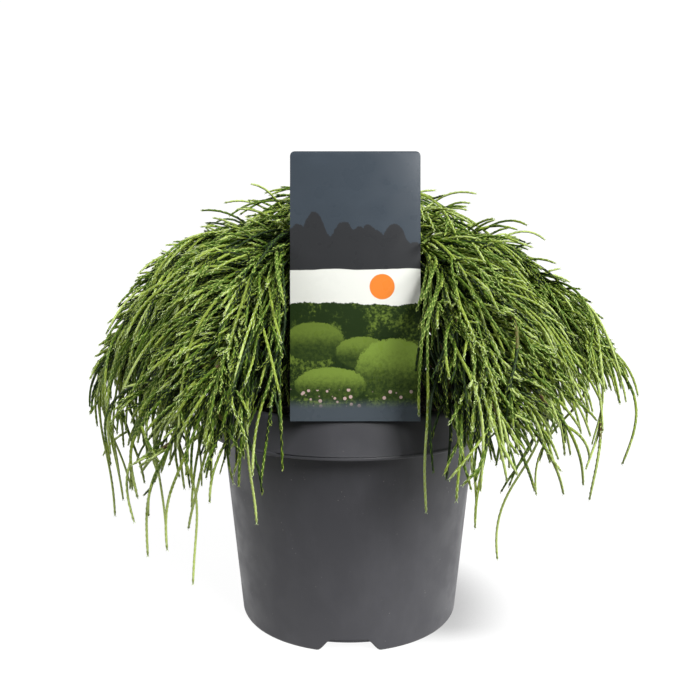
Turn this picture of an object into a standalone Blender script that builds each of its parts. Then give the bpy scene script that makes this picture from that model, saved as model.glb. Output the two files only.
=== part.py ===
"""A dwarf thread-leaved sawara cypress in its nursery pot, with a plain picture label.

Metres, +Z up. The origin is the middle of the pot's underside and the label faces -Y.
The crown is a nest of domes, called shells. Shell 0 hangs close round the pot's rim and
shell 1 is the crown's outside. Each mass of foliage keeps to a slice of that nest.
"""

import math

import bmesh
import bpy
import numpy as np
from mathutils import Matrix, Vector
from mathutils.geometry import interpolate_bezier

MM = 0.001
GAP = 0.3 * MM

# The pot: radii at the foot, under the rim, at the rim's lower edge and at its top.
POT_HEIGHT = 150 * MM
POT_FOOT_RADIUS = 73 * MM
POT_NECK_RADIUS = 84.6 * MM
POT_NECK_Z = 127 * MM
RIM_RADIUS = 95 * MM
RIM_TOP_RADIUS = 91 * MM
RIM_LIP = 1.6 * MM
RIM_ROUND = 2.4 * MM
RIM_STEP = 0.7 * MM
POT_WALL = 1.8 * MM
POT_SIDES = 48
FLOOR_UNDERSIDE_Z = 6.5 * MM
FLOOR_THICKNESS = 2 * MM
CENTRE_FOOT_RADIUS = 15 * MM
NOTCH_COUNT = 3
NOTCH_HEIGHT = 8 * MM
NOTCH_TOP_WIDTH = 25 * MM
NOTCH_FOOT_WIDTH = 38 * MM
NOTCH_ROUND = 1.5 * MM
FOOT_CHAMFER = 1.6 * MM
SMOOTH_UNDER = math.radians(35)
PAD_STANDS_OUT = MM
PAD_TOP_WIDTH = 66 * MM
PAD_FOOT_WIDTH = 94 * MM
DRAIN_COUNT = 6
DRAIN_RADIUS = 4.5 * MM
DRAIN_SIDES = 10
DRAIN_RING_RADIUS = 50 * MM

# The compost that fills the pot, flat where the trunk stands on it.
COMPOST_Z = 137 * MM
COMPOST_FLAT_RADIUS = 20 * MM
COMPOST_RINGS = (34 * MM, 48 * MM, 62 * MM, 74 * MM)
COMPOST_BUMP = 1.6 * MM
COMPOST_SIDES = POT_SIDES // 2

# The trunk leans the way that the crown does.
TRUNK_FOOT = Vector((-3 * MM, 2 * MM, COMPOST_Z + GAP))
TRUNK_TIP = Vector((8 * MM, 4 * MM, 222 * MM))
TRUNK_BOW = Vector((-4 * MM, 3 * MM, 0))
TRUNK_RADII = (12.5 * MM, 8.6 * MM, 7.2 * MM, 6.4 * MM, 5.6 * MM, 4.6 * MM, 3.5 * MM, 2.6 * MM)
TRUNK_SIDES = 10
TRUNK_END = 2.5 * MM
TRUNK_STATIONS = (0, 0.08, 0.2, 0.35, 0.5, 0.66, 0.83, 1)

# The shells 0 and 1: half-widths, the height where they start to curve in, their tops, and how
# far the crown's middle lies off the axis. Then how round they are, all round and on the right.
# On the label's side they reach less far.
SHELL_REACH = (99 * MM, 175 * MM)
SHELL_FRONT = (98 * MM, 146 * MM)
SHELL_SPRING_Z = (152 * MM, 143 * MM)
SHELL_TOP_Z = (190 * MM, 279 * MM)
SHELL_SHIFT = (7 * MM, 2 * MM)
SHELL_ROUND = (2, 1.7)

# The label leans back on the foliage and hooks over the front of the rim. Its foot point
# is the middle of its back's lowest edge.
LABEL_WIDTH = 73 * MM
LABEL_HEIGHT = 151 * MM
LABEL_THICKNESS = 0.9 * MM
LABEL_CORNER = 2.5 * MM
LABEL_CORNER_STEPS = 3
LABEL_LEAN = math.radians(8.2)
LABEL_FOOT = Vector((3.5 * MM, -92.8 * MM, 149.8 * MM))
STAKE_WIDTH = 22 * MM
STAKE_INSIDE_Y = -82.4 * MM
STAKE_FOOT_Z = 92 * MM
STAKE_LEAN = math.radians(5.4)
STAKE_POINT = 9 * MM
STAKE_TIP_WIDTH = 4 * MM

# The boughs: radii at the trunk and at the tip.
BOUGH_RADII = (2.9 * MM, 2.1 * MM)
BOUGH_STATIONS = 7
BOUGH_SIDES = 6
BOUGH_TURN = 0.618
BOUGH_RISE = 1.1
STEM_RISE = 0.25

# Growth. A thread turns downhill within the turn length and bends to its own shell and bearing.
STEP = 4 * MM
TURN_LENGTH = 30 * MM
SHELL_GRIP = 14 * MM
BEARING_GRIP = 18 * MM
SHELL_PULL = 0.9
BEARING_PULL = 0.8
THREAD_SWAY = 0.15
STEM_SWAY = 0.1
WAVE_LENGTH = 75 * MM
BRANCH_ANGLES = (math.radians(24), math.radians(46))
BRANCH_LIFT = 0.18
BRANCH_SHELLS = (0.1, 0.8)
BRANCH_SPREADS = (0.1, 0.47)
# Each stem beside the label leans towards it by this share of its space.
STEM_LEANS = 0.28
STEM_RADII = (2.1 * MM, 1.3 * MM)
STEM_SIDES = 5
THREAD_RADII = (2 * MM, 1.3 * MM)
THREAD_SIDES = 3
THREAD_LENGTHS = (66 * MM, 125 * MM)
TRAILER_LENGTHS = (125 * MM, 165 * MM)
TRAILER_DEPTH = 0.15
FORK_LENGTHS = (34 * MM, 60 * MM)
SHORTEST_THREAD = 24 * MM
SMALLEST_EDGE = 0.002 * MM
STRAY = MM
ROOM = THREAD_RADII[0] + STRAY + GAP
POT_ROOM = 3 * MM
# The lowest that a thread hangs, by the turn from the front to the right, and how it rises
# further out.
HEM_TURNS = tuple(math.radians(turn) for turn in (-180, -85, -40, 40, 85, 180))
HEM_Z = (48 * MM, 40 * MM, 118 * MM, 118 * MM, 62 * MM, 48 * MM)
HEM_RISES_FROM = 150 * MM
HEM_RISE = 1.2

# The spaces. Seven masses hang outside the dividing shell and six inside it, each in a
# sector, from the label's right round to its left. One grows behind the label and one on
# top. The boughs and the trunk have the middle to themselves.
DIVIDE = 0.5
OUTSIDE = 1.14
FRONT_BEARING = math.radians(-92.5)
FRONT_SPREAD = math.radians(45)
OUTER = {
    "count": 7, "shells": (DIVIDE, OUTSIDE), "stem_shell": 0.7, "hole": 44 * MM,
    "stem_length": 142 * MM, "threads": 14, "boughs_leave": (0.61, 0.87),
}
INNER = {
    "count": 6, "shells": (0.02, DIVIDE), "stem_shell": 0.28, "hole": 48 * MM,
    "stem_length": 104 * MM, "threads": 9, "boughs_leave": (0.27, 0.5),
}
FRONT = {
    "shells": (0.02, OUTSIDE), "stem_shell": 0.72, "hole": 44 * MM,
    "stem_length": 96 * MM, "threads": 9, "bough_leaves": 0.91,
}
TOP = {
    "shells": (0.72, 1), "thread_shells": (0.8, 0.92), "thread_rise": 0.6, "hole": -1, "reach": 43 * MM,
    "walls": (), "stem_length": 46 * MM, "threads": 8,
}


def clear_scene():
    for obj in list(bpy.data.objects):
        bpy.data.objects.remove(obj)


def finish(name, colour, roughness, metallic=0.0):
    """A plain material with the colour that the photograph shows."""
    material = bpy.data.materials.get(name) or bpy.data.materials.new(name)
    material.use_nodes = True
    shader = material.node_tree.nodes["Principled BSDF"]
    shader.inputs["Base Color"].default_value = (*colour, 1)
    shader.inputs["Roughness"].default_value = roughness
    shader.inputs["Metallic"].default_value = metallic
    return material


def add(name, mesh, material):
    obj = bpy.data.objects.new(name, mesh)
    bpy.context.scene.collection.objects.link(obj)
    if material:
        mesh.materials.clear()
        mesh.materials.append(material)
    return obj


def mesh_from(bm, name):
    mesh = bpy.data.meshes.new(name)
    bm.to_mesh(mesh)
    bm.free()
    return mesh


def turned(name, profile, sides, material):
    """A closed profile of (radius, height) points, spun round the Z axis."""
    bm = bmesh.new()
    ring = [bm.verts.new((r, 0, z)) for r, z in profile]
    edges = [bm.edges.new((a, b)) for a, b in zip(ring, ring[1:] + ring[:1])]
    bmesh.ops.spin(
        bm, geom=ring + edges, cent=(0, 0, 0), axis=(0, 0, 1), angle=math.tau, steps=sides, use_merge=True
    )
    bmesh.ops.remove_doubles(bm, verts=bm.verts, dist=0.01 * MM)
    bmesh.ops.dissolve_degenerate(bm, edges=bm.edges, dist=0.01 * MM)
    bmesh.ops.recalc_face_normals(bm, faces=bm.faces)
    return add(name, mesh_from(bm, name), material)


def prism(name, outline, depth, material=None):
    """A flat outline in the XZ plane, extruded along +Y by depth."""
    bm = bmesh.new()
    face = bm.faces.new([bm.verts.new((x, 0, z)) for x, z in outline])
    moved = bmesh.ops.extrude_face_region(bm, geom=[face])
    verts = [v for v in moved["geom"] if isinstance(v, bmesh.types.BMVert)]
    bmesh.ops.translate(bm, verts=verts, vec=(0, depth, 0))
    bmesh.ops.recalc_face_normals(bm, faces=bm.faces)
    return add(name, mesh_from(bm, name), material)


def tube(name, points, radii, sides, material=None):
    """A tapering limb through these points, with flat ends."""
    curve = bpy.data.curves.new(name, "CURVE")
    curve.dimensions = "3D"
    curve.bevel_mode = "OBJECT"
    curve.bevel_object = section(sides)
    curve.use_fill_caps = True
    spline = curve.splines.new("POLY")
    spline.points.add(len(points) - 1)
    for point, place, radius in zip(spline.points, points, radii):
        point.co = (*place, 1)
        point.radius = radius / MM
    guide = bpy.data.objects.new(name, curve)
    bpy.context.scene.collection.objects.link(guide)
    graph = bpy.context.evaluated_depsgraph_get()
    bm = bmesh.new()
    bm.from_mesh(bpy.data.meshes.new_from_object(guide.evaluated_get(graph)))
    bpy.data.objects.remove(guide)
    bpy.data.curves.remove(curve)
    bmesh.ops.remove_doubles(bm, verts=bm.verts, dist=0.001 * MM)
    bmesh.ops.recalc_face_normals(bm, faces=bm.faces)
    return add(name, mesh_from(bm, name), material)


def section(sides):
    """The outline that a limb of this many sides is drawn along, 1 mm in radius."""
    name = f"section_{sides}"
    found = bpy.data.objects.get(name)
    if found:
        return found
    curve = bpy.data.curves.new(name, "CURVE")
    curve.dimensions = "2D"
    spline = curve.splines.new("POLY")
    spline.points.add(sides - 1)
    for k, point in enumerate(spline.points):
        angle = math.tau * k / sides
        point.co = (math.cos(angle) * MM, math.sin(angle) * MM, 0, 1)
    spline.use_cyclic_u = True
    outline = bpy.data.objects.new(name, curve)
    bpy.context.scene.collection.objects.link(outline)
    outline.hide_render = True
    outline.display_type = "WIRE"
    return outline


def boolean(obj, others, operation):
    """Joins or cuts obj with other objects in one Boolean, applies it and removes them."""
    tools = bpy.data.collections.new("tools")
    bpy.context.scene.collection.children.link(tools)
    for other in others:
        tools.objects.link(other)
    modifier = obj.modifiers.new("boolean", "BOOLEAN")
    modifier.operation = operation
    modifier.solver = "EXACT"
    modifier.operand_type = "COLLECTION"
    modifier.collection = tools
    graph = bpy.context.evaluated_depsgraph_get()
    mesh = bpy.data.meshes.new_from_object(obj.evaluated_get(graph))
    obj.modifiers.clear()
    obj.data = mesh
    for other in others:
        bpy.data.objects.remove(other)
    bpy.data.collections.remove(tools)
    return obj


# The pot and what fills it

def wall_radius(z):
    """The pot's outside radius at this height, below the rim."""
    return POT_FOOT_RADIUS + (POT_NECK_RADIUS - POT_FOOT_RADIUS) * z / POT_NECK_Z


def inner_radius(z):
    return wall_radius(z) - POT_WALL


def make_pot(material):
    skirt_inside = RIM_RADIUS - POT_WALL
    web_z = POT_HEIGHT - 2 * RIM_ROUND
    under_floor = inner_radius(FLOOR_UNDERSIDE_Z)
    floor_top = FLOOR_UNDERSIDE_Z + FLOOR_THICKNESS
    profile = [
        (0, 0),
        (CENTRE_FOOT_RADIUS, 0),
        (CENTRE_FOOT_RADIUS + FLOOR_UNDERSIDE_Z / 2, FLOOR_UNDERSIDE_Z),
        (under_floor, FLOOR_UNDERSIDE_Z),
        (inner_radius(0), 0),
        (wall_radius(0) - FOOT_CHAMFER / 2, 0),
        (wall_radius(FOOT_CHAMFER), FOOT_CHAMFER),
        (wall_radius(POT_NECK_Z), POT_NECK_Z),
        (wall_radius(web_z), web_z),
        (RIM_TOP_RADIUS - POT_WALL, web_z),
        (skirt_inside, POT_NECK_Z),
        (RIM_RADIUS, POT_NECK_Z),
        (RIM_RADIUS, POT_NECK_Z + RIM_LIP),
        (RIM_RADIUS - RIM_STEP, POT_NECK_Z + RIM_LIP + RIM_STEP),
        (RIM_TOP_RADIUS, POT_HEIGHT - RIM_ROUND),
        (RIM_TOP_RADIUS - 0.3 * RIM_ROUND, POT_HEIGHT - 0.3 * RIM_ROUND),
        (RIM_TOP_RADIUS - RIM_ROUND, POT_HEIGHT),
        (inner_radius(POT_HEIGHT) + RIM_ROUND / 2, POT_HEIGHT),
        (inner_radius(POT_HEIGHT), POT_HEIGHT - RIM_ROUND / 2),
        (inner_radius(floor_top), floor_top),
        (0, floor_top),
    ]
    pot = turned("pot", profile, POT_SIDES, material)
    boolean(pot, [rim_pad()], "UNION")
    cutters = [notch(k) for k in range(NOTCH_COUNT)] + [drain(k) for k in range(DRAIN_COUNT)]
    boolean(pot, cutters, "DIFFERENCE")
    pot.data.shade_smooth()
    pot.data.set_sharp_from_angle(angle=SMOOTH_UNDER)


def rim_pad():
    """A panel that stands out of the rim's front, under the label, wider at its foot."""
    low, high = POT_NECK_Z + RIM_LIP + RIM_STEP, POT_HEIGHT - RIM_ROUND
    profile = [
        (RIM_RADIUS - RIM_STEP - POT_WALL / 2, low),
        (RIM_RADIUS - RIM_STEP + PAD_STANDS_OUT, low + PAD_STANDS_OUT),
        (RIM_TOP_RADIUS + PAD_STANDS_OUT, high - PAD_STANDS_OUT),
        (RIM_TOP_RADIUS - POT_WALL / 2, high),
    ]
    pad = turned("pad", profile, POT_SIDES, None)
    foot, top = PAD_FOOT_WIDTH / 2, PAD_TOP_WIDTH / 2
    outline = [(-foot, low - MM), (foot, low - MM), (top, high + MM), (-top, high + MM)]
    keep = prism("pad_outline", outline, RIM_RADIUS)
    keep.data.transform(Matrix.Translation((0, -RIM_RADIUS - 2 * PAD_STANDS_OUT, 0)))
    return boolean(pad, [keep], "INTERSECT")


def notch(k):
    """A cut with sloping sides in the foot of the wall, the first one at the front."""
    foot, top, round_off = NOTCH_FOOT_WIDTH / 2, NOTCH_TOP_WIDTH / 2, NOTCH_ROUND
    left = [
        (-foot - round_off, -round_off),
        (-foot, 0.3 * round_off),
        (-foot + 1.7 * round_off, 1.5 * round_off),
        (-top - 0.6 * round_off, NOTCH_HEIGHT - round_off),
        (-top + 0.5 * round_off, NOTCH_HEIGHT),
    ]
    right = [(-x, z) for x, z in reversed(left)]
    cutter = prism("notch", left + right, POT_FOOT_RADIUS / 3)
    cutter.data.transform(Matrix.Translation((0, -POT_FOOT_RADIUS * 1.1, 0)))
    cutter.data.transform(Matrix.Rotation(math.tau * k / NOTCH_COUNT, 4, "Z"))
    return cutter


def drain(k):
    """A round hole through the floor."""
    bm = bmesh.new()
    depth = 6 * FLOOR_THICKNESS
    bmesh.ops.create_cone(
        bm, cap_ends=True, segments=DRAIN_SIDES, radius1=DRAIN_RADIUS, radius2=DRAIN_RADIUS, depth=depth
    )
    angle = math.tau * (k + 0.5) / DRAIN_COUNT
    place = (DRAIN_RING_RADIUS * math.cos(angle), DRAIN_RING_RADIUS * math.sin(angle), FLOOR_UNDERSIDE_Z)
    bmesh.ops.translate(bm, verts=bm.verts, vec=place)
    return add("drain", mesh_from(bm, "drain"), None)


def make_compost(material):
    """The pot's fill, with a crumbly top that is level under the trunk."""
    low = FLOOR_UNDERSIDE_Z + FLOOR_THICKNESS + GAP
    clear = 1.5 * GAP
    rings = (0, COMPOST_FLAT_RADIUS, *COMPOST_RINGS)
    edge = inner_radius(COMPOST_Z) - clear
    profile = [(0, low), (inner_radius(low) - clear, low), (edge, COMPOST_Z)]
    profile += [(r, COMPOST_Z) for r in reversed(rings)]
    compost = turned("compost", profile, COMPOST_SIDES, material)
    rng = np.random.default_rng(5)
    for vert in compost.data.vertices:
        radius = math.hypot(vert.co.x, vert.co.y)
        if vert.co.z > COMPOST_Z - GAP and COMPOST_FLAT_RADIUS + MM < radius < edge - MM:
            vert.co.z += rng.uniform(-1, 1) * COMPOST_BUMP
    slot = prism("stake_slot", stake_outline(clear), LABEL_THICKNESS + 2 * GAP)
    slot.data.transform(Matrix.Translation((0, -GAP, 0)))
    slot.data.transform(stake_place())
    boolean(compost, [slot], "DIFFERENCE")


# The label

def stake_outline(grown=0.0):
    """The stake's outline in the XZ plane, with a pointed foot. It is grown for the compost's slot."""
    half, tip = STAKE_WIDTH / 2 + grown, STAKE_TIP_WIDTH / 2 + grown
    x, top, foot = LABEL_FOOT.x, POT_HEIGHT + GAP + LABEL_THICKNESS, STAKE_FOOT_Z - grown
    return [
        (x - half, top),
        (x - half, foot + STAKE_POINT),
        (x - tip, foot),
        (x + tip, foot),
        (x + half, foot + STAKE_POINT),
        (x + half, top),
    ]


def stake_place():
    """The stake leans in at its foot, along the pot's wall."""
    top = Matrix.Translation((0, STAKE_INSIDE_Y, POT_HEIGHT))
    return top @ Matrix.Rotation(STAKE_LEAN, 4, "X") @ Matrix.Translation((0, 0, -POT_HEIGHT))


def label_outline():
    """A tall panel with rounded top corners."""
    half, corner = LABEL_WIDTH / 2, LABEL_CORNER
    outline = [(-half, 0), (half, 0)]
    for side, start in ((1, 0), (-1, math.pi / 2)):
        for k in range(LABEL_CORNER_STEPS + 1):
            angle = start + math.pi / 2 * k / LABEL_CORNER_STEPS
            x = side * (half - corner) + corner * math.cos(angle)
            outline.append((x, LABEL_HEIGHT - corner + corner * math.sin(angle)))
    return outline


def make_label(material):
    """The panel outside the rim, a bridge over it and a stake down into the compost, in one piece."""
    panel = prism("label", label_outline(), LABEL_THICKNESS, material)
    panel.data.transform(Matrix.Rotation(-LABEL_LEAN, 4, "X"))
    panel.data.transform(Matrix.Translation(LABEL_FOOT - Vector((0, LABEL_THICKNESS, 0))))
    half, x = STAKE_WIDTH / 2, LABEL_FOOT.x
    low, high = POT_HEIGHT + GAP, POT_HEIGHT + GAP + LABEL_THICKNESS
    across = STAKE_INSIDE_Y - LABEL_FOOT.y + GAP
    bridge = prism("bridge", [(x - half, low), (x + half, low), (x + half, high), (x - half, high)], across)
    bridge.data.transform(Matrix.Translation((0, LABEL_FOOT.y, 0)))
    stake = prism("stake", stake_outline(), LABEL_THICKNESS)
    stake.data.transform(stake_place())
    boolean(panel, [bridge, stake], "UNION")


# The trunk

def trunk_axis(share):
    """The trunk's centre line, from 0 at the foot to 1 at the tip."""
    return TRUNK_FOOT.lerp(TRUNK_TIP, share) + TRUNK_BOW * math.sin(math.pi * share)


def make_trunk(material=None, grown=0.0, name="trunk"):
    """The trunk, level at both ends, or grown by the room that the boughs leave it."""
    points = [trunk_axis(share) for share in TRUNK_STATIONS]
    radii = [radius + grown for radius in TRUNK_RADII]
    trunk = tube(name, points, radii, TRUNK_SIDES, material)
    for vert in trunk.data.vertices:
        if vert.co.z < TRUNK_FOOT.z + TRUNK_END:
            vert.co.z = TRUNK_FOOT.z - grown
        if vert.co.z > TRUNK_TIP.z - TRUNK_END:
            vert.co.z = TRUNK_TIP.z + grown
    return trunk


# How the foliage grows

def unit(vectors):
    return vectors / np.maximum(np.linalg.norm(vectors, axis=-1, keepdims=True), 1e-9)


def between(pair, share):
    return pair[0] + (pair[1] - pair[0]) * share


def roundness(x, y):
    """How round a shell's shoulder is towards this place. 2 is an ellipse, less is a straighter slope."""
    right = np.clip(x / np.maximum(np.hypot(x, y), 1e-6), 0, 1)
    return SHELL_ROUND[0] + (SHELL_ROUND[1] - SHELL_ROUND[0]) * right


def shell_at(points, shell):
    """Each point's height over its shell, and the shell's outward, downhill and sideways ways there."""
    reach, spring = between(SHELL_REACH, shell), between(SHELL_SPRING_Z, shell)
    offset = points - np.column_stack((shell * SHELL_SHIFT[0], shell * SHELL_SHIFT[1], spring))
    offset[:, 2] = np.maximum(offset[:, 2], 0)
    deep = np.where(offset[:, 1] < 0, between(SHELL_FRONT, shell), reach)
    half = np.column_stack((reach, deep, between(SHELL_TOP_Z, shell) - spring))
    part = offset / half
    across = np.maximum(np.hypot(part[:, 0], part[:, 1]), 1e-3)
    power = roundness(offset[:, 0], offset[:, 1])
    level = (across**power + part[:, 2]**power) ** (1 / power)
    slope = part / half
    slope[:, :2] *= (across ** (power - 2))[:, None]
    slope[:, 2] = part[:, 2] ** (power - 1) / half[:, 2]
    slope *= (level ** (1 - power))[:, None]
    steepness = np.linalg.norm(slope, axis=1)
    outward = slope / steepness[:, None]
    downhill = unit(outward * outward[:, 2:] - (0, 0, 1))
    sideways = unit(np.cross((0, 0, 1), outward))
    return (level - 1) / steepness, outward, downhill, sideways


def shell_z(x, y, shell):
    """The height of a shell over this place."""
    reach, spring = between(SHELL_REACH, shell), between(SHELL_SPRING_Z, shell)
    across, along = x - shell * SHELL_SHIFT[0], y - shell * SHELL_SHIFT[1]
    deep = between(SHELL_FRONT, shell) if along < 0 else reach
    power = float(roundness(across, along))
    share = max(1 - math.hypot(across / reach, along / deep) ** power, 0)
    return spring + (between(SHELL_TOP_Z, shell) - spring) * share ** (1 / power)


def label_back(z):
    """The y of the label's back at this height."""
    return LABEL_FOOT.y + (z - LABEL_FOOT.z) * math.tan(LABEL_LEAN)


def beside_label(points):
    return np.abs(points[:, 0] - LABEL_FOOT.x) > LABEL_WIDTH / 2 + ROOM


def grow(threads, length, sway, rng):
    """The paths of a set of threads, given their starts, headings, shells and bearings."""
    place, way, shell, bearing = threads
    phase = rng.uniform(0, math.tau, len(place))
    path = [place]
    for k in range(int(length / STEP)):
        place = place + way * STEP
        path.append(place)
        height, outward, downhill, sideways = shell_at(place, shell)
        radial = place[:, :2] - TRUNK_TIP[:2]
        turn = (bearing - np.arctan2(radial[:, 1], radial[:, 0]) + math.pi) % math.tau - math.pi
        aim = np.clip(np.linalg.norm(radial, axis=1) * turn / BEARING_GRIP, -BEARING_PULL, BEARING_PULL)
        aim += sway * np.sin(math.tau * k * STEP / WAVE_LENGTH + phase)
        lift = np.clip(-height / SHELL_GRIP, -SHELL_PULL, SHELL_PULL)
        wish = unit(downhill + lift[:, None] * outward + aim[:, None] * sideways)
        stopped = ~beside_label(place) & (place[:, 1] < label_back(place[:, 2]) + TURN_LENGTH + ROOM)
        wish[stopped] = unit(wish[stopped] * (1, 0, 0) + (0, 0.2, -1))
        way = unit(way + (wish - way) * STEP / TURN_LENGTH)
    return np.stack(path, 1)


def hem_z(points):
    """How low a thread may hang at each place."""
    further = np.maximum(np.linalg.norm(points[:, :2], axis=1) - HEM_RISES_FROM, 0)
    return np.interp(np.arctan2(points[:, 0], -points[:, 1]), HEM_TURNS, HEM_Z) + HEM_RISE * further


def inside(points, space):
    """Whether each point lies in its mass's space, clear of the sides of it."""
    low = shell_at(points, np.full(len(points), space["shells"][0]))[0]
    high = shell_at(points, np.full(len(points), space["shells"][1]))[0]
    fits = (low > ROOM) & (high < -ROOM)
    radius = np.linalg.norm(points[:, :2] - TRUNK_TIP[:2], axis=1)
    fits &= (radius > space["hole"] + ROOM) & (radius < space["reach"] - ROOM)
    for x, y, offset in space["walls"]:
        fits &= points[:, 0] * x + points[:, 1] * y > offset + ROOM
    over_pot = np.linalg.norm(points[:, :2], axis=1) < RIM_RADIUS + POT_ROOM
    fits &= ~over_pot | (points[:, 2] > POT_HEIGHT + POT_ROOM)
    fits &= beside_label(points) | (points[:, 1] > label_back(points[:, 2]) + ROOM)
    return fits & (points[:, 2] > hem_z(points))


def trimmed(path, length, space):
    """The path up to its length, or to the edge of its space. Its first two points are its root."""
    path = path[: int(length / STEP) + 1]
    fits = inside(path, space)
    fits[:2] = True
    return path if fits.all() else path[: int(np.argmin(fits))]


def thinned(path):
    """The fewest of the path's points that keep the line within STRAY of it."""
    if len(path) < 3:
        return path
    chord = unit(path[-1] - path[0])
    offset = path - path[0]
    away = np.linalg.norm(offset - np.outer(offset @ chord, chord), axis=1)
    worst = int(np.argmax(away))
    if away[worst] < STRAY:
        return path[[0, -1]]
    return np.vstack((thinned(path[: worst + 1])[:-1], thinned(path[worst:])))


def wall(bearing, side):
    """A plane through the crown's axis, as (x, y, offset). side is 1 for what is anticlockwise of it."""
    x, y = -math.sin(bearing) * side, math.cos(bearing) * side
    return x, y, x * TRUNK_TIP.x + y * TRUNK_TIP.y


def sector(name, low, spread, facts):
    """A space between two walls, with its facts."""
    walls = wall(low, 1), wall(low + spread, -1)
    centre = low + spread / 2
    return {
        **facts, "name": name, "bearing": centre, "stem_bearing": centre, "spread": spread, "walls": walls, "reach": 1
    }


def sectors():
    """Every space but the top one."""
    first = FRONT_BEARING + FRONT_SPREAD / 2
    found = [sector("front", FRONT_BEARING - FRONT_SPREAD / 2, FRONT_SPREAD, FRONT)]
    for tier, facts in (("outer", OUTER), ("inner", INNER)):
        spread = (math.tau - FRONT_SPREAD) / facts["count"]
        for k in range(facts["count"]):
            space = sector(f"{tier}_{k + 1}", first + k * spread, spread, facts)
            space["bough_leaves"] = between(facts["boughs_leave"], k * BOUGH_TURN % 1)
            found.append(space)
        found[-1]["stem_bearing"] += STEM_LEANS * spread
        found[-facts["count"]]["stem_bearing"] -= STEM_LEANS * spread
    return found


def stem_start(space):
    """Where a mass's stem starts, and which way it heads. Its bough's tip ends there."""
    bearing, radius = space["stem_bearing"], space["hole"] + 2 * MM
    x, y = TRUNK_TIP.x + radius * math.cos(bearing), TRUNK_TIP.y + radius * math.sin(bearing)
    heading = Vector((math.cos(bearing), math.sin(bearing), STEM_RISE)).normalized()
    return Vector((x, y, shell_z(x, y, space["stem_shell"]))), heading


def grown_stem(space, rng):
    start, heading = stem_start(space)
    stem = np.array([start + heading * GAP / 2]), np.array([heading])
    facts = np.array([space["stem_shell"]]), np.array([space["stem_bearing"]])
    path = grow((*stem, *facts), space["stem_length"], STEM_SWAY, rng)[0]
    return trimmed(path, space["stem_length"], space)


def side_threads(space, stem, count, rng):
    """Threads that leave a stem by turns left and right, as grow takes them."""
    turns = np.arange(count)
    index = 2 + ((turns + rng.uniform(0.2, 0.8, count)) / count * (len(stem) - 3)).astype(int)
    along = unit(stem[index + 1] - stem[index - 1])
    side = np.where(turns % 2, 1.0, -1.0)
    shell = between(space["shells"], rng.uniform(*BRANCH_SHELLS, count))
    bearing = space["bearing"] + side * rng.uniform(*BRANCH_SPREADS, count) * space["spread"]
    outward, sideways = shell_at(stem[index], shell)[1::2]
    angle = rng.uniform(*BRANCH_ANGLES, count)
    heading = along * np.cos(angle)[:, None] + sideways * (side * np.sin(angle))[:, None]
    return stem[index], unit(heading + BRANCH_LIFT * outward), shell, bearing


def mass_paths(space):
    """The paths of a mass's stem, its threads and their forks. The last thread trails lowest."""
    rng = np.random.default_rng(sum(map(ord, space["name"])))
    stem = grown_stem(space, rng)
    threads = side_threads(space, stem, space["threads"], rng)
    threads[2][-1] = between(space["shells"], TRAILER_DEPTH)
    lengths = rng.uniform(*THREAD_LENGTHS, space["threads"])
    lengths[-1] = rng.uniform(*TRAILER_LENGTHS)
    grown = grow(threads, TRAILER_LENGTHS[1], THREAD_SWAY, rng)
    paths = [trimmed(path, length, space) for path, length in zip(grown, lengths)]
    for thread in [path for path in paths[::3] if len(path) * STEP > SHORTEST_THREAD]:
        fork = grow(side_threads(space, thread, 1, rng), FORK_LENGTHS[1], THREAD_SWAY, rng)[0]
        paths.append(trimmed(fork, rng.uniform(*FORK_LENGTHS), space))
    return stem, paths


def top_paths():
    """The paths of the tuft over the trunk's tip, whose threads arch over on all sides."""
    rng = np.random.default_rng(4)
    count = TOP["threads"]
    rise = np.arange(0, TOP["stem_length"], STEP)
    stem = np.array(TRUNK_TIP) + np.outer(rise + GAP, (0, 0, 1))
    bearing = math.tau * (np.arange(count) + rng.uniform(-0.25, 0.25, count)) / count
    heading = unit(np.column_stack((np.cos(bearing), np.sin(bearing), np.full(count, TOP["thread_rise"]))))
    start = stem[-1 - np.arange(count) % 2]
    shell = rng.uniform(*TOP["thread_shells"], count)
    threads = grow((start, heading, shell, bearing), TOP["reach"], THREAD_SWAY, rng)
    return stem, [trimmed(thread, TOP["reach"], TOP) for thread in threads]


def limb(name, points, radii, sides, material=None):
    """A tube that tapers evenly along these points."""
    run = np.concatenate(([0], np.cumsum(np.linalg.norm(np.diff(points, axis=0), axis=1))))
    return tube(name, points, between(radii, run / run[-1]), sides, material)


def make_mass(name, stem, paths, material):
    """One solid of a stem and its threads. A thread that was cut too short is left out."""
    faces_bough = stem[:1]
    stem = np.vstack((faces_bough, thinned(stem[1:])))
    mass = limb(f"foliage_{name}", stem, STEM_RADII, STEM_SIDES, material)
    paths = [thinned(path) for path in paths if len(path) * STEP > SHORTEST_THREAD]
    boolean(mass, [limb("thread", path, THREAD_RADII, THREAD_SIDES) for path in paths], "UNION")
    keep_largest(mass)


def keep_largest(obj):
    """Leaves only the closed shell with the most volume, so scraps go and sealed hollows are filled."""
    bm = bmesh.new()
    bm.from_mesh(obj.data)
    bmesh.ops.triangulate(bm, faces=bm.faces)
    bmesh.ops.dissolve_degenerate(bm, edges=bm.edges, dist=SMALLEST_EDGE)
    bmesh.ops.triangulate(bm, faces=bm.faces)
    left, shells = set(bm.faces), []
    while left:
        shell, edge = [], [left.pop()]
        while edge:
            face = edge.pop()
            shell.append(face)
            near = {f for e in face.edges for f in e.link_faces} & left
            left -= near
            edge.extend(near)
        shells.append(shell)
    shells.sort(key=lambda faces: sum(f.calc_center_median().dot(f.normal) * f.calc_area() for f in faces))
    bmesh.ops.delete(bm, geom=[f for shell in shells[:-1] for f in shell], context="FACES")
    bm.to_mesh(obj.data)
    bm.free()


# The boughs

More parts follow.
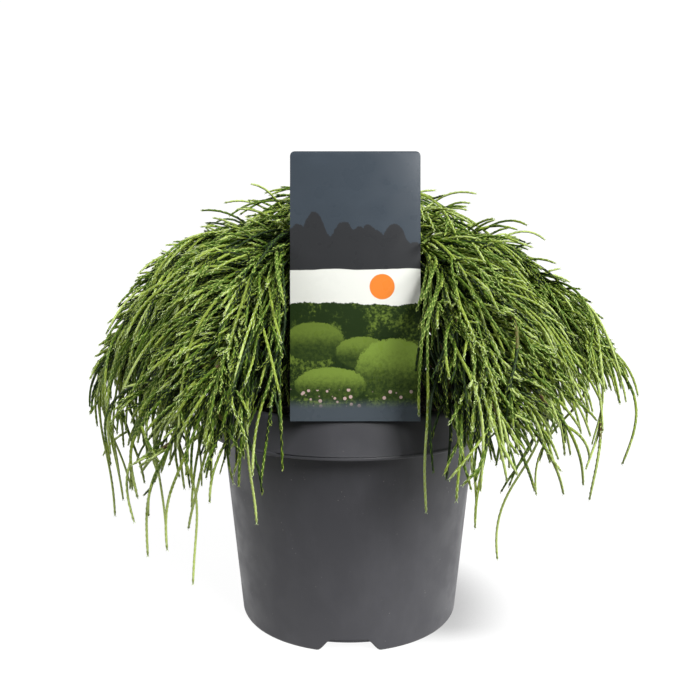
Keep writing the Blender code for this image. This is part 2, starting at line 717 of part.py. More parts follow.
def make_bough(space, material):
    """One limb from the trunk, cut clear of it, to the start of its mass's stem."""
    end, heading = stem_start(space)
    root = trunk_axis(space["bough_leaves"])
    reach = (end - root).length
    away = Vector((heading.x, heading.y, BOUGH_RISE)).normalized()
    handles = root + away * reach * 0.4, end - heading * reach * 0.3
    points = interpolate_bezier(root, *handles, end - heading * STEP, BOUGH_STATIONS - 1)
    points.append(end - heading * GAP / 2)
    radii = np.linspace(*BOUGH_RADII, BOUGH_STATIONS)
    bough = tube(f"bough_{space['name']}", points, radii, BOUGH_SIDES, material)
    boolean(bough, [make_trunk(grown=GAP, name="trunk_room")], "DIFFERENCE")
    keep_largest(bough)


def main():
    clear_scene()
    plastic = finish("pot plastic", (0.075, 0.077, 0.085), 0.5)
    soil = finish("compost", (0.02, 0.013, 0.008), 0.95)
    card = finish("label plastic", (0.09, 0.11, 0.125), 0.35)
    bark = finish("bark", (0.12, 0.07, 0.04), 0.85)
    leaf = finish("thread foliage", (0.16, 0.25, 0.03), 0.55)
    make_pot(plastic)
    make_compost(soil)
    make_label(card)
    make_trunk(bark)
    for space in sectors():
        make_bough(space, bark)
        make_mass(space["name"], *mass_paths(space), leaf)
    make_mass("top", *top_paths(), leaf)


main()
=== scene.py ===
"""Dresses a packed pot, label and thread-leaved cypress in their finished looks.

Metres, +Z up. The origin is the middle of the pot's underside and the label faces -Y.
The crown is a nest of domes, called shells. Shell 0 hangs close round the pot's rim and
shell 1 is the crown's outside. The threads of foliage grow on from the limbs by that rule.
"""

import math
from collections import namedtuple

import bmesh
import bpy
import numpy as np
from bpy.props import FloatProperty, FloatVectorProperty, IntProperty, PointerProperty
from mathutils import Matrix, Vector, noise
from mathutils.geometry import interpolate_bezier


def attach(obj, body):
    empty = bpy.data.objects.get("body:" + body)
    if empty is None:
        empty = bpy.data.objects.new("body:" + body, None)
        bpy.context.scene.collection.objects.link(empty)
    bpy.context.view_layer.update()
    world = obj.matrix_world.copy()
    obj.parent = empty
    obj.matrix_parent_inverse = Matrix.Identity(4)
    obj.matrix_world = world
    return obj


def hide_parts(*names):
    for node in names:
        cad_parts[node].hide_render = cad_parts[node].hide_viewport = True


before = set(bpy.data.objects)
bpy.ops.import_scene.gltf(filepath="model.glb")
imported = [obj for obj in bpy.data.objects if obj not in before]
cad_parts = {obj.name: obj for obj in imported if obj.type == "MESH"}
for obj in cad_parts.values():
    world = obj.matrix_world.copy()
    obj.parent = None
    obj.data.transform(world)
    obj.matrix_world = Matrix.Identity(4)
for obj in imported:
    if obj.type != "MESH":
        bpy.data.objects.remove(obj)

bl_info = {
    "name": "Potted Thread Cypress",
    "version": (1, 0, 0),
    "blender": (4, 5, 0),
    "location": "3D View > Sidebar > Cypress",
    "description": "Gives a packed pot, label and thread-leaved cypress their finished looks",
    "category": "Add Mesh",
}

BODY = "root"
MM = 0.001
GAP = 0.3 * MM


def mm(*sizes):
    """Sizes given in millimetres."""
    return tuple(size * MM for size in sizes)


def deg(*angles):
    """Angles given in degrees."""
    return tuple(math.radians(angle) for angle in angles)


# The pot: its heights, and its radii at the foot, under the rim, at the rim's edge and at its top.
POT_HEIGHT, POT_NECK_Z = mm(150, 127)
POT_FOOT_RADIUS, POT_NECK_RADIUS, RIM_RADIUS, RIM_TOP_RADIUS = mm(73, 84.6, 95, 91)
POT_WALL, FOOT_CHAMFER, RIM_LIP, RIM_STEP, RIM_ROUND = mm(1.8, 1.6, 1.6, 0.7, 2.4)
BAND_FOOT_Z, BAND_TOP_Z = POT_NECK_Z + RIM_LIP + RIM_STEP, POT_HEIGHT - RIM_ROUND
FLOOR_UNDERSIDE_Z, FLOOR_THICKNESS, CENTRE_FOOT_RADIUS = mm(6.5, 2, 15)
DRAIN_COUNT, NOTCH_COUNT = 6, 3
DRAIN_RADIUS, DRAIN_RING_RADIUS = mm(4.5, 50)
FLOOR_SIDES, DRAIN_SIDES = 120, 40
# The notches in its foot, and how far their top and foot corners are softened.
NOTCH_HEIGHT, NOTCH_TOP_WIDTH, NOTCH_FOOT_WIDTH, NOTCH_ZONE = mm(8, 25, 38, 14)
NOTCH_SOFT = mm(2, 1.2)
# The raised panel on the front of its rim.
PANEL_STANDS_OUT, PANEL_TOP_WIDTH, PANEL_FOOT_WIDTH, PANEL_EDGE = mm(1, 66, 94, 7)

# The compost, level where the trunk stands.
COMPOST_Z, COMPOST_FLAT_RADIUS = mm(137, 20)
COMPOST_SIDES = 220
# How wide its lumps are, and how far out from the level part they reach their height.
LUMP_SIZE, LUMPS_RISE_WITHIN = mm(9, 6)

# The trunk's centre line and thickness.
TRUNK_FOOT = Vector((-3 * MM, 2 * MM, COMPOST_Z + GAP))
TRUNK_TIP, TRUNK_BOW = Vector(mm(8, 4, 222)), Vector(mm(-4, 3, 0))
TRUNK_RADII = mm(12.5, 8.6, 7.2, 6.4, 5.6, 4.6, 3.5, 2.6)
TRUNK_STATIONS = (0, 0.08, 0.2, 0.35, 0.5, 0.66, 0.83, 1)
TRUNK_STEPS, TRUNK_SIDES, BOUGH_STEPS, BOUGH_SIDES = 70, 44, 30, 16
# The bark's furrows: how they are drawn out along Z, how wide they are on the trunk and boughs, and
# the share of their depth that the boughs have.
BARK_STRETCH = 0.3
TRUNK_FURROWS, BOUGH_FURROWS = mm(3.2, 2)
BOUGH_RELIEF = 0.4

# The shells 0 and 1: half-widths, the height where they start to curve in and their tops. Then how
# far the middle of shell 1 lies off the axis, and how round they are, all round and on the right.
SHELL_REACH, SHELL_FRONT = mm(99, 175), mm(98, 146)
SHELL_SPRING_Z, SHELL_TOP_Z = mm(152, 143), mm(190, 279)
SHELL_SHIFT = mm(7, 2)
SHELL_ROUND = (2, 1.7)

# The label. Its foot point is the middle of its back's lowest edge.
LABEL_WIDTH, LABEL_HEIGHT, LABEL_THICKNESS, LABEL_CORNER = mm(73, 151, 0.9, 2.5)
LABEL_FOOT = Vector(mm(3.5, -92.8, 149.8))
LABEL_LEAN, STAKE_LEAN = deg(8.2, 5.4)
STAKE_WIDTH, STAKE_TIP_WIDTH, STAKE_POINT = mm(22, 4, 9)
STAKE_INSIDE_Y, STAKE_FOOT_Z = mm(-82.4, 92)
# What is printed on it, from its foot: the tops of its layers, and the sun's place and size.
TREES_TOP, MIST_TOP, THICKET_TOP, FLOWERS_TOP, STRIP_TOP = mm(116.2, 84, 67, 18, 10)
SUN_PLACE, SUN_SIZE = mm(15, 74.5), mm(7, 7)
# The shrubs' places, their half-widths and heights, and how light they are.
SHRUBS = (
    (mm(-23, 44), mm(17, 11), 0.7), (mm(4, 38), mm(15, 9), 0.8),
    (mm(22, 28), mm(22, 18), 1.15), (mm(-14, 20), mm(20, 10), 1),
)

# The boughs: radii at the trunk and at the tip.
BOUGH_RADII = mm(2.9, 2.1)
BOUGH_TURN, BOUGH_RISE, STEM_RISE = 0.618, 1.1, 0.25

# Where the random draws start.
CHIPS_SEED, CHIP_TINTS_SEED, TUFT_SEED, FINE_SEED = 11, 3, 4, 100

# Growth. A thread turns downhill within the turn length and bends to its own shell and bearing.
STEP, TURN_LENGTH, SHELL_GRIP, BEARING_GRIP, WAVE_LENGTH = mm(4, 30, 14, 18, 75)
SHELL_PULL, BEARING_PULL = 0.9, 0.8
THREAD_SWAY, STEM_SWAY = 0.15, 0.1
BRANCH_ANGLES = deg(24, 46)
BRANCH_LIFT = 0.18
BRANCH_SHELLS, BRANCH_SPREADS = (0.1, 0.8), (0.1, 0.47)
# Where threads and finer ones leave their parent, within the share of it that each has to itself.
BRANCH_PLACES, FINE_PLACES = (0.2, 0.8), (0.1, 0.9)
FORK_EVERY = 3
# The way in which a thread that comes up to the label's back goes on.
BEHIND_LABEL_WAY = (0, 0.2, -1)
# Each stem beside the label leans towards it by this share of its space.
STEM_LEANS = 0.28
THREAD_LENGTHS, TRAILER_LENGTHS, FORK_LENGTHS = mm(66, 125), mm(125, 165), mm(34, 60)
TRAILER_DEPTH = 0.15
SHORTEST_THREAD, ROOM, POT_ROOM = mm(24, 3.3, 3)
FEWEST_POINTS = 3
# The lowest that a thread hangs, by the turn from the front to the right, and how it rises
# further out.
HEM_TURNS = deg(-180, -85, -40, 40, 85, 180)
HEM_Z = mm(48, 40, 118, 118, 62, 48)
HEM_RISES_FROM = 150 * MM
HEM_RISE = 1.2

# The spaces of the masses, from the label's right round to its left.
DIVIDE, OUTSIDE = 0.5, 1.14
FRONT_BEARING, FRONT_SPREAD = deg(-92.5, 45)
OUTER = {
    "count": 7, "shells": (DIVIDE, OUTSIDE), "stem_shell": 0.7, "hole": 44 * MM,
    "stem_length": 142 * MM, "threads": 14, "boughs_leave": (0.61, 0.87),
}
INNER = {
    "count": 6, "shells": (0.02, DIVIDE), "stem_shell": 0.28, "hole": 48 * MM,
    "stem_length": 104 * MM, "threads": 9, "boughs_leave": (0.27, 0.5),
}
FRONT = {
    "shells": (0.02, OUTSIDE), "stem_shell": 0.72, "hole": 44 * MM,
    "stem_length": 96 * MM, "threads": 9, "bough_leaves": 0.91,
}
TOP = {
    "shells": (0.72, 1), "thread_shells": (0.8, 0.92), "thread_rise": 0.6,
    "thread_scatter": (-0.25, 0.25), "hole": -1,
    "reach": 43 * MM, "walls": (), "stem_shell": 0.85, "stem_length": 46 * MM, "threads": 8,
}

# The finer threads: how long they are, how much shorter they get along their parent, where on it
# they start, how far their shells and bearings drift from it, and how far they lift outward.
Rule = namedtuple("Rule", "lengths shorter_at_tip along shell_drift bearing_drift lift")
STEM_THREADS = Rule(mm(70, 175), 0.1, (0.02, 0.9), (-0.3, 0.26), (0.02, 0.4), (0, 0.7))
BEHIND_LABEL_THREADS = STEM_THREADS._replace(bearing_drift=(0.3, 0.85))
SIDE_THREADS = Rule(mm(44, 130), 0.4, (0.05, 0.95), (-0.2, 0.1), (0.01, 0.18), (-0.1, 0.65))
TIP_THREADS = Rule(mm(18, 54), 0.3, (0.25, 0.9), (-0.08, 0.05), (0.01, 0.1), (-0.1, 0.6))
CURTAIN_THREADS = Rule(mm(80, 150), 0.2, (0.02, 0.7), (-0.68, 0.1), (0.05, 0.95), (-0.7, 0.3))
# Threads that close the crown between the stems, close to its middle.
CROWN_THREADS = Rule(mm(60, 140), 0.2, (0, 0.32), (-0.2, 0.27), (0.12, 0.75), (-0.3, 0.4))
# Short curled ends that stand up from the crown, and loose curls that stand clear of the tuft.
SPRIGS = Rule(mm(18, 40), 0.1, (0, 0.75), (0, 0.12), (0.02, 0.4), (0.5, 1.5))
CURLS = Rule(mm(22, 48), 0.1, (0.2, 0.9), (0.1, 0.3), (0.05, 0.9), (0.8, 2.6))
# The threads that leave the tuft's stem on all sides, and longer ones that close the crown beside
# the two stems that lean towards the label.
TuftRule = namedtuple("TuftRule", "count lengths shells rise")
TUFT = TuftRule(190, mm(60, 150), (0.25, 0.95), (-0.4, 0.55))
TUFT_CLOSES = TuftRule(64, mm(120, 190), (0.2, 0.9), (-0.4, 0.35))
CLOSES_TOWARDS = deg(204, -28)
CLOSES_SPREAD = math.radians(10)
# Single threads that trail far below the rest: their bearings, shells and lowest points. They
# leave the stem at this point of it.
STRAGGLERS = {
    "outer_7": (deg(213, 205, 240), (0.28, 0.45, 0.34), mm(38, 66, 92)),
    "outer_6": (deg(192, 197), (0.86, 0.78), mm(70, 84)),
    "outer_1": (deg(-73, -40), (0.34, 0.26), mm(96, 54)),
}
STRAGGLERS_FROM = 3
STRAGGLER_LENGTH = 320 * MM
# How many times closer than side threads the finer ones stand, and how much further apart than
# the sprigs on the threads the other curled ends stand.
TOP_CLOSER, STEM_CLOSER, BEHIND_LABEL_CLOSER, CROWN_CLOSER = 3, 7, 14, 3
SPRIGS_APART, CURLS_APART = 4, 8
FINE_ANGLES = deg(15, 40)
FINE_ROLL, FINE_SWAY = 0.7, 0.3
FINE_TURN_LENGTH, FINE_ROOM = mm(32, 1.5)
FINE_WAVES = (0.5, 1.5)
# A fine thread's end droops by this share, and loosens its hold on its shell by the other.
DROOP, DROOP_LATE, LOOSEN = 1.6, 2.4, 0.75
# The fine threads' shells, how much of them the right side keeps, and the limit of the crown for
# them and for the curls by height. On the left the limit widens a little higher up.
FINE_SHELLS = (0.04, 0.99)
RIGHT_KEEPS = 0.97
FINE_OUTSIDE, CURLS_OUTSIDE = (1.04, 1.13), (1.04, 1.24)
OUTSIDE_RISES = mm(170, 235)
LEFT_HIGHER, LABEL_OVERLAP = mm(38, 4)
# How many of them stray past their shell, and how far.
STRAY_SHARE = 0.1
STRAY_SHELL = (0.03, 0.13)
# The hem of the finer threads, by turn: its lowest tips, where it starts to thin out, and how
# much higher it lies inside the crown.
FINE_HEM_TURNS = deg(-180, -100, -75, -45, -25, 25, 45, 75, 100, 180)
FINE_HEM_LOW = mm(40, 16, 26, 62, 90, 88, 90, 102, 96, 40)
FINE_HEM_HIGH = mm(96, 150, 166, 168, 166, 154, 158, 172, 164, 96)
FINE_HEM_SHARE = 0.62
INNER_HEM_RISE = 110 * MM
INNER_HEM_SHELL = 0.8

# How thick the stems are at each end. How thick the threads, side threads, fill and tips are, and
# how light.
STEM_THICK = (2, 1.2)
LEVELS = ((1.3, 0.95), 0), ((1.05, 0.9), 1), ((1, 0.9), 1), ((0.95, 0.85), 2)
TWIG_SIDES, STEM_SIDES = 5, 6
BEND_APART, STEM_BEND_APART = mm(5.4, 4)
CORE_THICKNESS, CORE_DARKER = 0.94, 0.12
# A thread's end, by its radius. Scale leaves: how their reach and spread vary, how long the last
# pair is, and their half-width, base and keel by the thread's radius.
THREAD_END = 0.7
LEAF_REACHES, LEAF_SPREADS, LAST_LEAF = (0.85, 1.1), (0.88, 1.06), 0.5
LEAF_HALF_WIDTH, LEAF_BASE, LEAF_KEEL = 0.74, 0.5, 1.06
# Below this shell the threads have larger and fewer leaves.
SPARSE_UNDER, SPARSER = 0.38, 1.7
# The tints run from 0, dark, to 1. They grow lighter with the shell, which is painted shade that
# darkens threads deep in the crown, and with the level and each thread's run, and vary from thread
# to thread.
TINT_LOWEST, PAINTED_SHADE_BY_SHELL, TINT_BY_LEVEL, TINT_VARIES, TINT_BY_SHARE = 0.03, 0.63, 0.05, 0.22, 0.32
TINT_EVEN_AT = 0.4
TINTS = ("shade", "deep", "middle", "light", "bright")
# Painted light: the threads grow lighter below this height, and are a little lighter on the right.
HEM_PAINTED_LIGHT_FROM = 178 * MM
HEM_PAINTED_LIGHT, RIGHT_PAINTED_LIGHT = 0.95, 0.035
# Painted shade: they are darker beside the label, out to this distance and less so between these
# heights.
LABEL_PAINTED_SHADE = 0.16
LABEL_PAINTED_SHADE_REACH = 34 * MM
LABEL_PAINTED_SHADE_RISES = mm(205, 245)
# The threads that grow on the stem are woody for this share of their run, by shell.
WOODY_INSIDE, WOODY_OUTSIDE, WOODY_FROM_SHELL, BROWN_SHARE = 0.4, 0.12, 0.7, 0.1

# The floor lies just under the pot. The suns: where they stand and how wide they look, in degrees.
FLOOR_SIZE = 6
FLOOR_Z = -0.05 * MM
# Its colour to all but the camera, and to the camera. Then how white the world is to the camera.
FLOOR_LIT, FLOOR_SEEN, WORLD_SEEN = (0.16, 0.16, 0.16), (0.11, 0.11, 0.11), 1.05
SUNS = {"key": ((0.75, -0.75, 0.85), 34), "fill": ((-0.9, -0.35, 0.5), 30)}
# The soft boxes behind: places, and shares of their power. They face this point.
BOXES = {"left_box": ((-0.9, 0.6, 0.35), 1), "right_box": ((0.9, 0.5, 0.35), 1.4)}
BOXES_FACE = (0, 0, 0.12)
WHITE = (1, 1, 1)


def a_colour(name, description, *shade):
    """A colour setting, given as it looks on screen, 0 to 255. Blender keeps linear values."""
    linear = [v / 255 / 12.92 if v <= 10 else ((v / 255 + 0.055) / 1.055) ** 2.4 for v in shade]
    return FloatVectorProperty(
        name=name, description=description, subtype="COLOR", size=3, min=0, max=1, default=linear
    )


def a_number(name, description, default, **facts):
    return FloatProperty(name=name, description=description, default=default, **{"min": 0, **facts})


def a_length(name, description, size):
    """A length setting, given in millimetres."""
    return a_number(name, description, size * MM, unit="LENGTH")


def a_count(name, description, default, least):
    return IntProperty(name=name, description=description, default=default, min=least)


class PotSettings(bpy.types.PropertyGroup):
    """Sizes and colours of the pot and its fill."""

    plastic: a_colour("Plastic", "The pot's own colour", 62, 62, 66)
    scuffed: a_colour("Scuffed", "The plastic where it is rubbed", 70, 70, 74)
    dust: a_colour("Dust", "Specks of dry compost on the plastic", 108, 106, 104)
    soil: a_colour("Soil", "The damp compost", 30, 24, 20)
    chip: a_colour("Chips", "The bark chips in the compost", 54, 41, 31)
    sides: a_count("Sides", "Steps in a full turn of the wall", 360, 48)
    chips: a_count("Chips", "How many chips lie on the compost", 1100, 0)


class LabelSettings(bpy.types.PropertyGroup):
    """Colours of the printed label."""

    sky: a_colour("Sky", "The sky at the label's top", 61, 69, 77)
    dusk: a_colour("Dusk", "The dark treeline and the plain part under it", 50, 51, 53)
    mist: a_colour("Mist", "The pale band over the hills", 226, 227, 220)
    sun: a_colour("Sun", "The low sun", 226, 128, 52)
    grass: a_colour("Grass", "The lit shrubs", 124, 148, 62)
    hedge: a_colour("Hedge", "The dark green behind the shrubs", 44, 62, 30)
    blossom: a_colour("Blossom", "Dots under the shrubs", 201, 174, 168)
    strip: a_colour("Strip", "The plain strip at the foot", 77, 85, 92)
    plastic: a_colour("Plastic", "The label's plain plastic", 60, 68, 78)


class FoliageSettings(bpy.types.PropertyGroup):
    """Sizes and colours of the threads of foliage."""

    radius: a_length("Thread radius", "Half the thickness of a thread with its leaves", 0.86)
    node: a_length("Leaf spacing", "The run between pairs of leaves", 1.9)
    leaf: a_length("Leaf length", "The length of a scale leaf", 2.5)
    side_apart: a_length("Side threads", "The run between side threads", 12)
    tip_apart: a_length("Tip threads", "The run between the finest threads", 54)
    sprig_apart: a_length("Sprigs", "The run between the curled ends that stand up", 26)
    # Which green a thread gets is partly its own colour, darker when old and lighter at the tips,
    # and partly painted light and shade: darker deep in the crown and beside the label, lighter low
    # down and on the right.
    shade: a_colour("Shade green", "Threads deep in the crown", 17, 36, 5)
    deep: a_colour("Deep green", "Older threads", 70, 98, 20)
    middle: a_colour("Mid green", "Most threads", 131, 151, 52)
    light: a_colour("Light green", "Younger threads", 172, 190, 102)
    bright: a_colour("Bright green", "Growing tips", 194, 210, 152)
    olive: a_colour("Olive", "Stems of the threads", 96, 88, 38)
    brown: a_colour("Twig brown", "Woody twigs", 84, 60, 38)


class BarkSettings(bpy.types.PropertyGroup):
    """The bark of the trunk and boughs."""

    ridge: a_colour("Ridges", "The dry face of the bark", 112, 84, 62)
    furrow: a_colour("Furrows", "The bark's cracks", 58, 38, 26)
    relief: a_length("Relief", "How far the bark's ridges stand out", 0.7)


class StageSettings(bpy.types.PropertyGroup):
    """The camera and the light."""

    distance: a_length("Camera distance", "How far in front of the origin the camera stands", 530.7)
    height: a_length("Camera height", "The camera's height", 253.3)
    pitch: a_number("Camera pitch", "How far the camera looks down", *deg(8.23), subtype="ANGLE")
    lens: a_number("Lens", "Focal length over a 36 mm frame", 41.17, min=1)
    glow: a_number("Floor glow", "How far the floor is lit to white", 0.94)
    # A painted shadow: how far from the pot's foot the floor's glow is darkened.
    painted_shadow_reach: a_length("Contact", "How far the floor darkens beside the pot's foot", 60)
    surround: a_number("Surround", "Light from all round", 0.2)
    key: a_number("Key", "The broad light from the front and right", 5.1)
    fill: a_number("Fill", "The light from the left", 1.4)
    boxes: a_number("Side boxes", "Watts of the soft boxes behind", 4)


# Materials

class Finish:
    """A node-based material with its Principled shader, and short ways to add nodes to it."""

    def __init__(self, name, roughness=0.5, shine=0.5):
        self.material = bpy.data.materials.new(name)
        self.material.use_nodes = True
        self.tree = self.material.node_tree
        self.shader("Roughness", roughness)
        self.shader("Specular IOR Level", shine)

    def put(self, value, socket):
        """Sets a socket to a number or colour, or links it to another node's output."""
        if isinstance(value, bpy.types.NodeSocket):
            self.tree.links.new(value, socket)
        elif hasattr(value, "__len__"):
            socket.default_value = (*value, 1) if len(socket.default_value) == 4 else tuple(value)
        else:
            socket.default_value = value

    def shader(self, name, value):
        self.put(value, self.tree.nodes["Principled BSDF"].inputs[name])

    def base(self, colour):
        """Gives the shader its colour. Returns the finished material."""
        self.shader("Base Color", colour)
        return self.material

    def node(self, kind, output, inputs=(), **settings):
        """Adds a node with these inputs and settings. Returns this output of it."""
        node = self.tree.nodes.new(f"ShaderNode{kind}")
        for name, value in settings.items():
            setattr(node, name, value)
        for name, value in dict(inputs).items():
            self.put(value, node.inputs[name])
        return node.outputs[output]

    def where(self, scale=(1, 1, 1), shift=(0, 0, 0)):
        """Object coordinates, scaled and shifted."""
        place = self.node("TexCoord", "Object")
        return self.node("Mapping", "Vector", {"Vector": place, "Scale": scale, "Location": shift})

    def axes(self):
        """The object coordinates' X, Y and Z."""
        return self.node("SeparateXYZ", 0, {0: self.where()}).node.outputs

    def noise(self, scale, detail=3.0, rough=0.55, stretch=(1, 1, 1), shift=(0, 0, 0)):
        inputs = {"Vector": self.where(stretch, shift), "Scale": scale, "Detail": detail}
        return self.node("TexNoise", "Fac", {**inputs, "Roughness": rough})

    def cells(self, scale, stretch=(1, 1, 1)):
        """The distance to the nearest of many scattered points."""
        return self.node("TexVoronoi", "Distance", {"Vector": self.where(stretch), "Scale": scale})

    def ramp(self, value, low, high, bottom=0.0, top=1.0):
        """Where value runs from low to high, this runs from bottom to top and stays there."""
        limits = {"From Min": low, "From Max": high, "To Min": bottom, "To Max": top}
        inputs = {"Value": value, **limits}
        return self.node("MapRange", "Result", inputs, clamp=True, interpolation_type="SMOOTHSTEP")

    def plus(self, first, second, operation="ADD"):
        return self.node("Math", 0, {0: first, 1: second}, operation=operation)

    def times(self, first, second):
        return self.plus(first, second, "MULTIPLY")

    def less(self, first, second):
        return self.plus(first, second, "SUBTRACT")

    def mix(self, share, first, second):
        return self.node("Mix", 2, {"Factor": share, 6: first, 7: second}, data_type="RGBA")

    def bump(self, height, distance, strength=1.0):
        inputs = {"Height": height, "Distance": distance, "Strength": strength}
        self.shader("Normal", self.node("Bump", "Normal", inputs))


def plain_finish(name, colour, roughness, shine=0.5):
    return Finish(name, roughness, shine).base(colour)


def shaded(colour, share):
    """The colour, darker or lighter."""
    return tuple(share * part for part in colour)


def pot_plastic(facts):
    """Matt plastic with a fine grain, soft scuffs and specks of dust."""
    finish = Finish("pot_plastic")
    scuffs = finish.ramp(finish.noise(34, 4, 0.6, (1, 1, 0.45)), 0.42, 0.75)
    body = finish.mix(scuffs, facts.plastic, facts.scuffed)
    dusty = finish.ramp(finish.noise(70, 2), 0.54, 0.66)
    specks = finish.times(finish.ramp(finish.cells(330), 0.16, 0.08), dusty)
    finish.shader("Roughness", finish.ramp(finish.noise(55, 3), 0.3, 0.7, 0.4, 0.56))
    finish.bump(finish.noise(1400, 2), 0.12 * MM, 0.35)
    return finish.base(finish.mix(specks, body, facts.dust))


def compost_finish(facts):
    finish = Finish("compost_soil", 0.95)
    grains = finish.ramp(finish.noise(420, 4, 0.7), 0.35, 0.7)
    finish.bump(finish.noise(500, 4, 0.7), 0.8 * MM)
    return finish.base(finish.mix(grains, facts.soil, shaded(facts.soil, 1.9)))


def bark_finish(facts):
    """Fibrous bark in upright strips."""
    finish = Finish("bark", 0.88)
    strips = finish.noise(130, 5, 0.65, (1, 1, 0.28))
    finish.bump(strips, 0.5 * MM)
    return finish.base(finish.mix(finish.ramp(strips, 0.4, 0.62), facts.furrow, facts.ridge))


def label_print(facts):
    """A plain printed landscape: dusk sky, treetops, mist, a low sun and rounded shrubs."""
    finish = Finish("label_print", shine=0.14)
    ramp, mix, plus, times = finish.ramp, finish.mix, finish.plus, finish.times
    x, _, z = finish.axes()
    flat = finish.node("CombineXYZ", 0, {"X": x, "Z": z})
    leafy = finish.noise(520, 5, 0.7)
    foot = LABEL_FOOT.z

    def wavy(scale, reach, shift):
        """The height, wavering along the label's width."""
        wave = finish.noise(scale, 3, 0.5, (1, 0, 0), (shift, 0, 0))
        return plus(z, times(finish.less(wave, 0.5), reach))

    def below(height, level, soft=0.2 * MM):
        return ramp(height, foot + level + soft, foot + level - soft)

    def near(place, size, edge=0.0):
        """The distance from this place, in units of size, with a leafy edge."""
        reach = size[0], 1, size[1]
        scaled = finish.node("VectorMath", 0, {0: flat, 1: reach}, operation="DIVIDE")
        middle = (LABEL_FOOT.x + place[0]) / size[0], 0, (foot + place[1]) / size[1]
        away = finish.node("VectorMath", "Value", {0: scaled, 1: middle}, operation="DISTANCE")
        return plus(away, times(leafy, edge))

    clouds = ramp(finish.noise(30, 4, 0.6, (1, 1, 2.6)), 0.42, 0.8, 0, 0.35)
    colour = mix(clouds, facts.sky, shaded(facts.sky, 1.35))
    spot = finish.cells(92, (1, 0, 0))
    dome = times(times(spot, spot), 24 * MM)
    trees = plus(wavy(22, -30 * MM, 3), plus(dome, times(leafy, 4 * MM)))
    colour = mix(below(trees, TREES_TOP), colour, facts.dusk)
    colour = mix(below(wavy(20, 5 * MM, 9), MIST_TOP), colour, facts.mist)
    colour = mix(ramp(near(SUN_PLACE, SUN_SIZE), 1.03, 0.98), colour, facts.sun)
    glints = ramp(times(leafy, finish.noise(60, 2)), 0.24, 0.4)
    thicket = mix(glints, shaded(facts.hedge, 0.7), shaded(facts.grass, 0.75))
    uneven = plus(wavy(26, 14 * MM, 1), times(leafy, 3 * MM))
    colour = mix(below(uneven, THICKET_TOP), colour, thicket)
    for place, size, light in SHRUBS:
        low, high = foot + place[1] - 0.5 * size[1], foot + place[1] + 0.9 * size[1]
        lit = plus(ramp(z, low, high, 0, 0.8), times(leafy, 0.9))
        face = mix(ramp(lit, 0.25, 1.25), shaded(facts.hedge, 0.8), shaded(facts.grass, light))
        colour = mix(ramp(near(place, size, 0.35), 1.19, 1.15), colour, face)
    dots = ramp(finish.cells(230), 0.26, 0.2)
    bed = times(below(wavy(30, 8 * MM, 2), FLOWERS_TOP), ramp(finish.noise(60, 2), 0.42, 0.5))
    colour = mix(times(dots, bed), colour, facts.blossom)
    colour = mix(below(z, STRIP_TOP, 3.5 * MM), colour, facts.strip)
    finish.shader("Roughness", ramp(finish.noise(90, 2), 0.3, 0.7, 0.26, 0.38))
    return finish.base(colour)


# Meshes

def finished(bm, name, material=None, smooth=None):
    """The bmesh as a mesh with this material, smooth where faces meet under so many degrees."""
    mesh = bpy.data.meshes.new(name)
    bm.to_mesh(mesh)
    bm.free()
    if material:
        mesh.materials.append(material)
    if smooth is not None:
        mesh.shade_smooth()
        mesh.set_sharp_from_angle(angle=math.radians(smooth))
    return mesh


def placed(name, data):
    """A new object in the scene."""
    obj = bpy.data.objects.new(name, data)
    bpy.context.scene.collection.objects.link(obj)
    return obj


def piece(name, mesh, slot, *nodes):
    """Adds a finished mesh to the plant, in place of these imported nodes."""
    obj = placed(name, mesh)
    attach(obj, BODY)
    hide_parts(*nodes)


def dressed(name, bm, material, smooth, slot, node):
    """Adds a bmesh to the plant, finished."""
    piece(name, finished(bm, name, material, smooth), slot, node)


def evaluated(obj):
    """The object's shape as a bmesh, with its modifiers or thickness. The object is removed."""
    graph = bpy.context.evaluated_depsgraph_get()
    mesh = bpy.data.meshes.new_from_object(obj.evaluated_get(graph))
    bm = bmesh.new()
    bm.from_mesh(mesh)
    bpy.data.meshes.remove(mesh)
    bpy.data.objects.remove(obj)
    return bm


def flat_shape(corners):
    """A face in the XZ plane through (x, z, rounding) corners, the corners rounded."""
    bm = bmesh.new()
    verts = [bm.verts.new((x, 0, z)) for x, z, _ in corners]
    bm.faces.new(verts)
    for rounding in sorted({rounding for _, _, rounding in corners if rounding}):
        alike = [vert for vert, corner in zip(verts, corners) if corner[2] == rounding]
        bmesh.ops.bevel(
            bm, geom=alike, offset=rounding, segments=3, profile=0.5, affect="VERTICES", material=-1
        )
    return bm


def spun(corners, sides):
    """A closed outline of (radius, height, rounding) corners, spun round the Z axis."""
    bm = flat_shape(corners)
    bmesh.ops.delete(bm, geom=bm.faces[:], context="FACES_ONLY")
    bmesh.ops.spin(
        bm, geom=bm.verts[:] + bm.edges[:], cent=(0, 0, 0), axis=(0, 0, 1), angle=math.tau,
        steps=sides, use_merge=True,
    )
    bmesh.ops.remove_doubles(bm, verts=bm.verts, dist=0.01 * MM)
    bmesh.ops.dissolve_degenerate(bm, edges=bm.edges, dist=0.01 * MM)
    bmesh.ops.recalc_face_normals(bm, faces=bm.faces)
    return bm


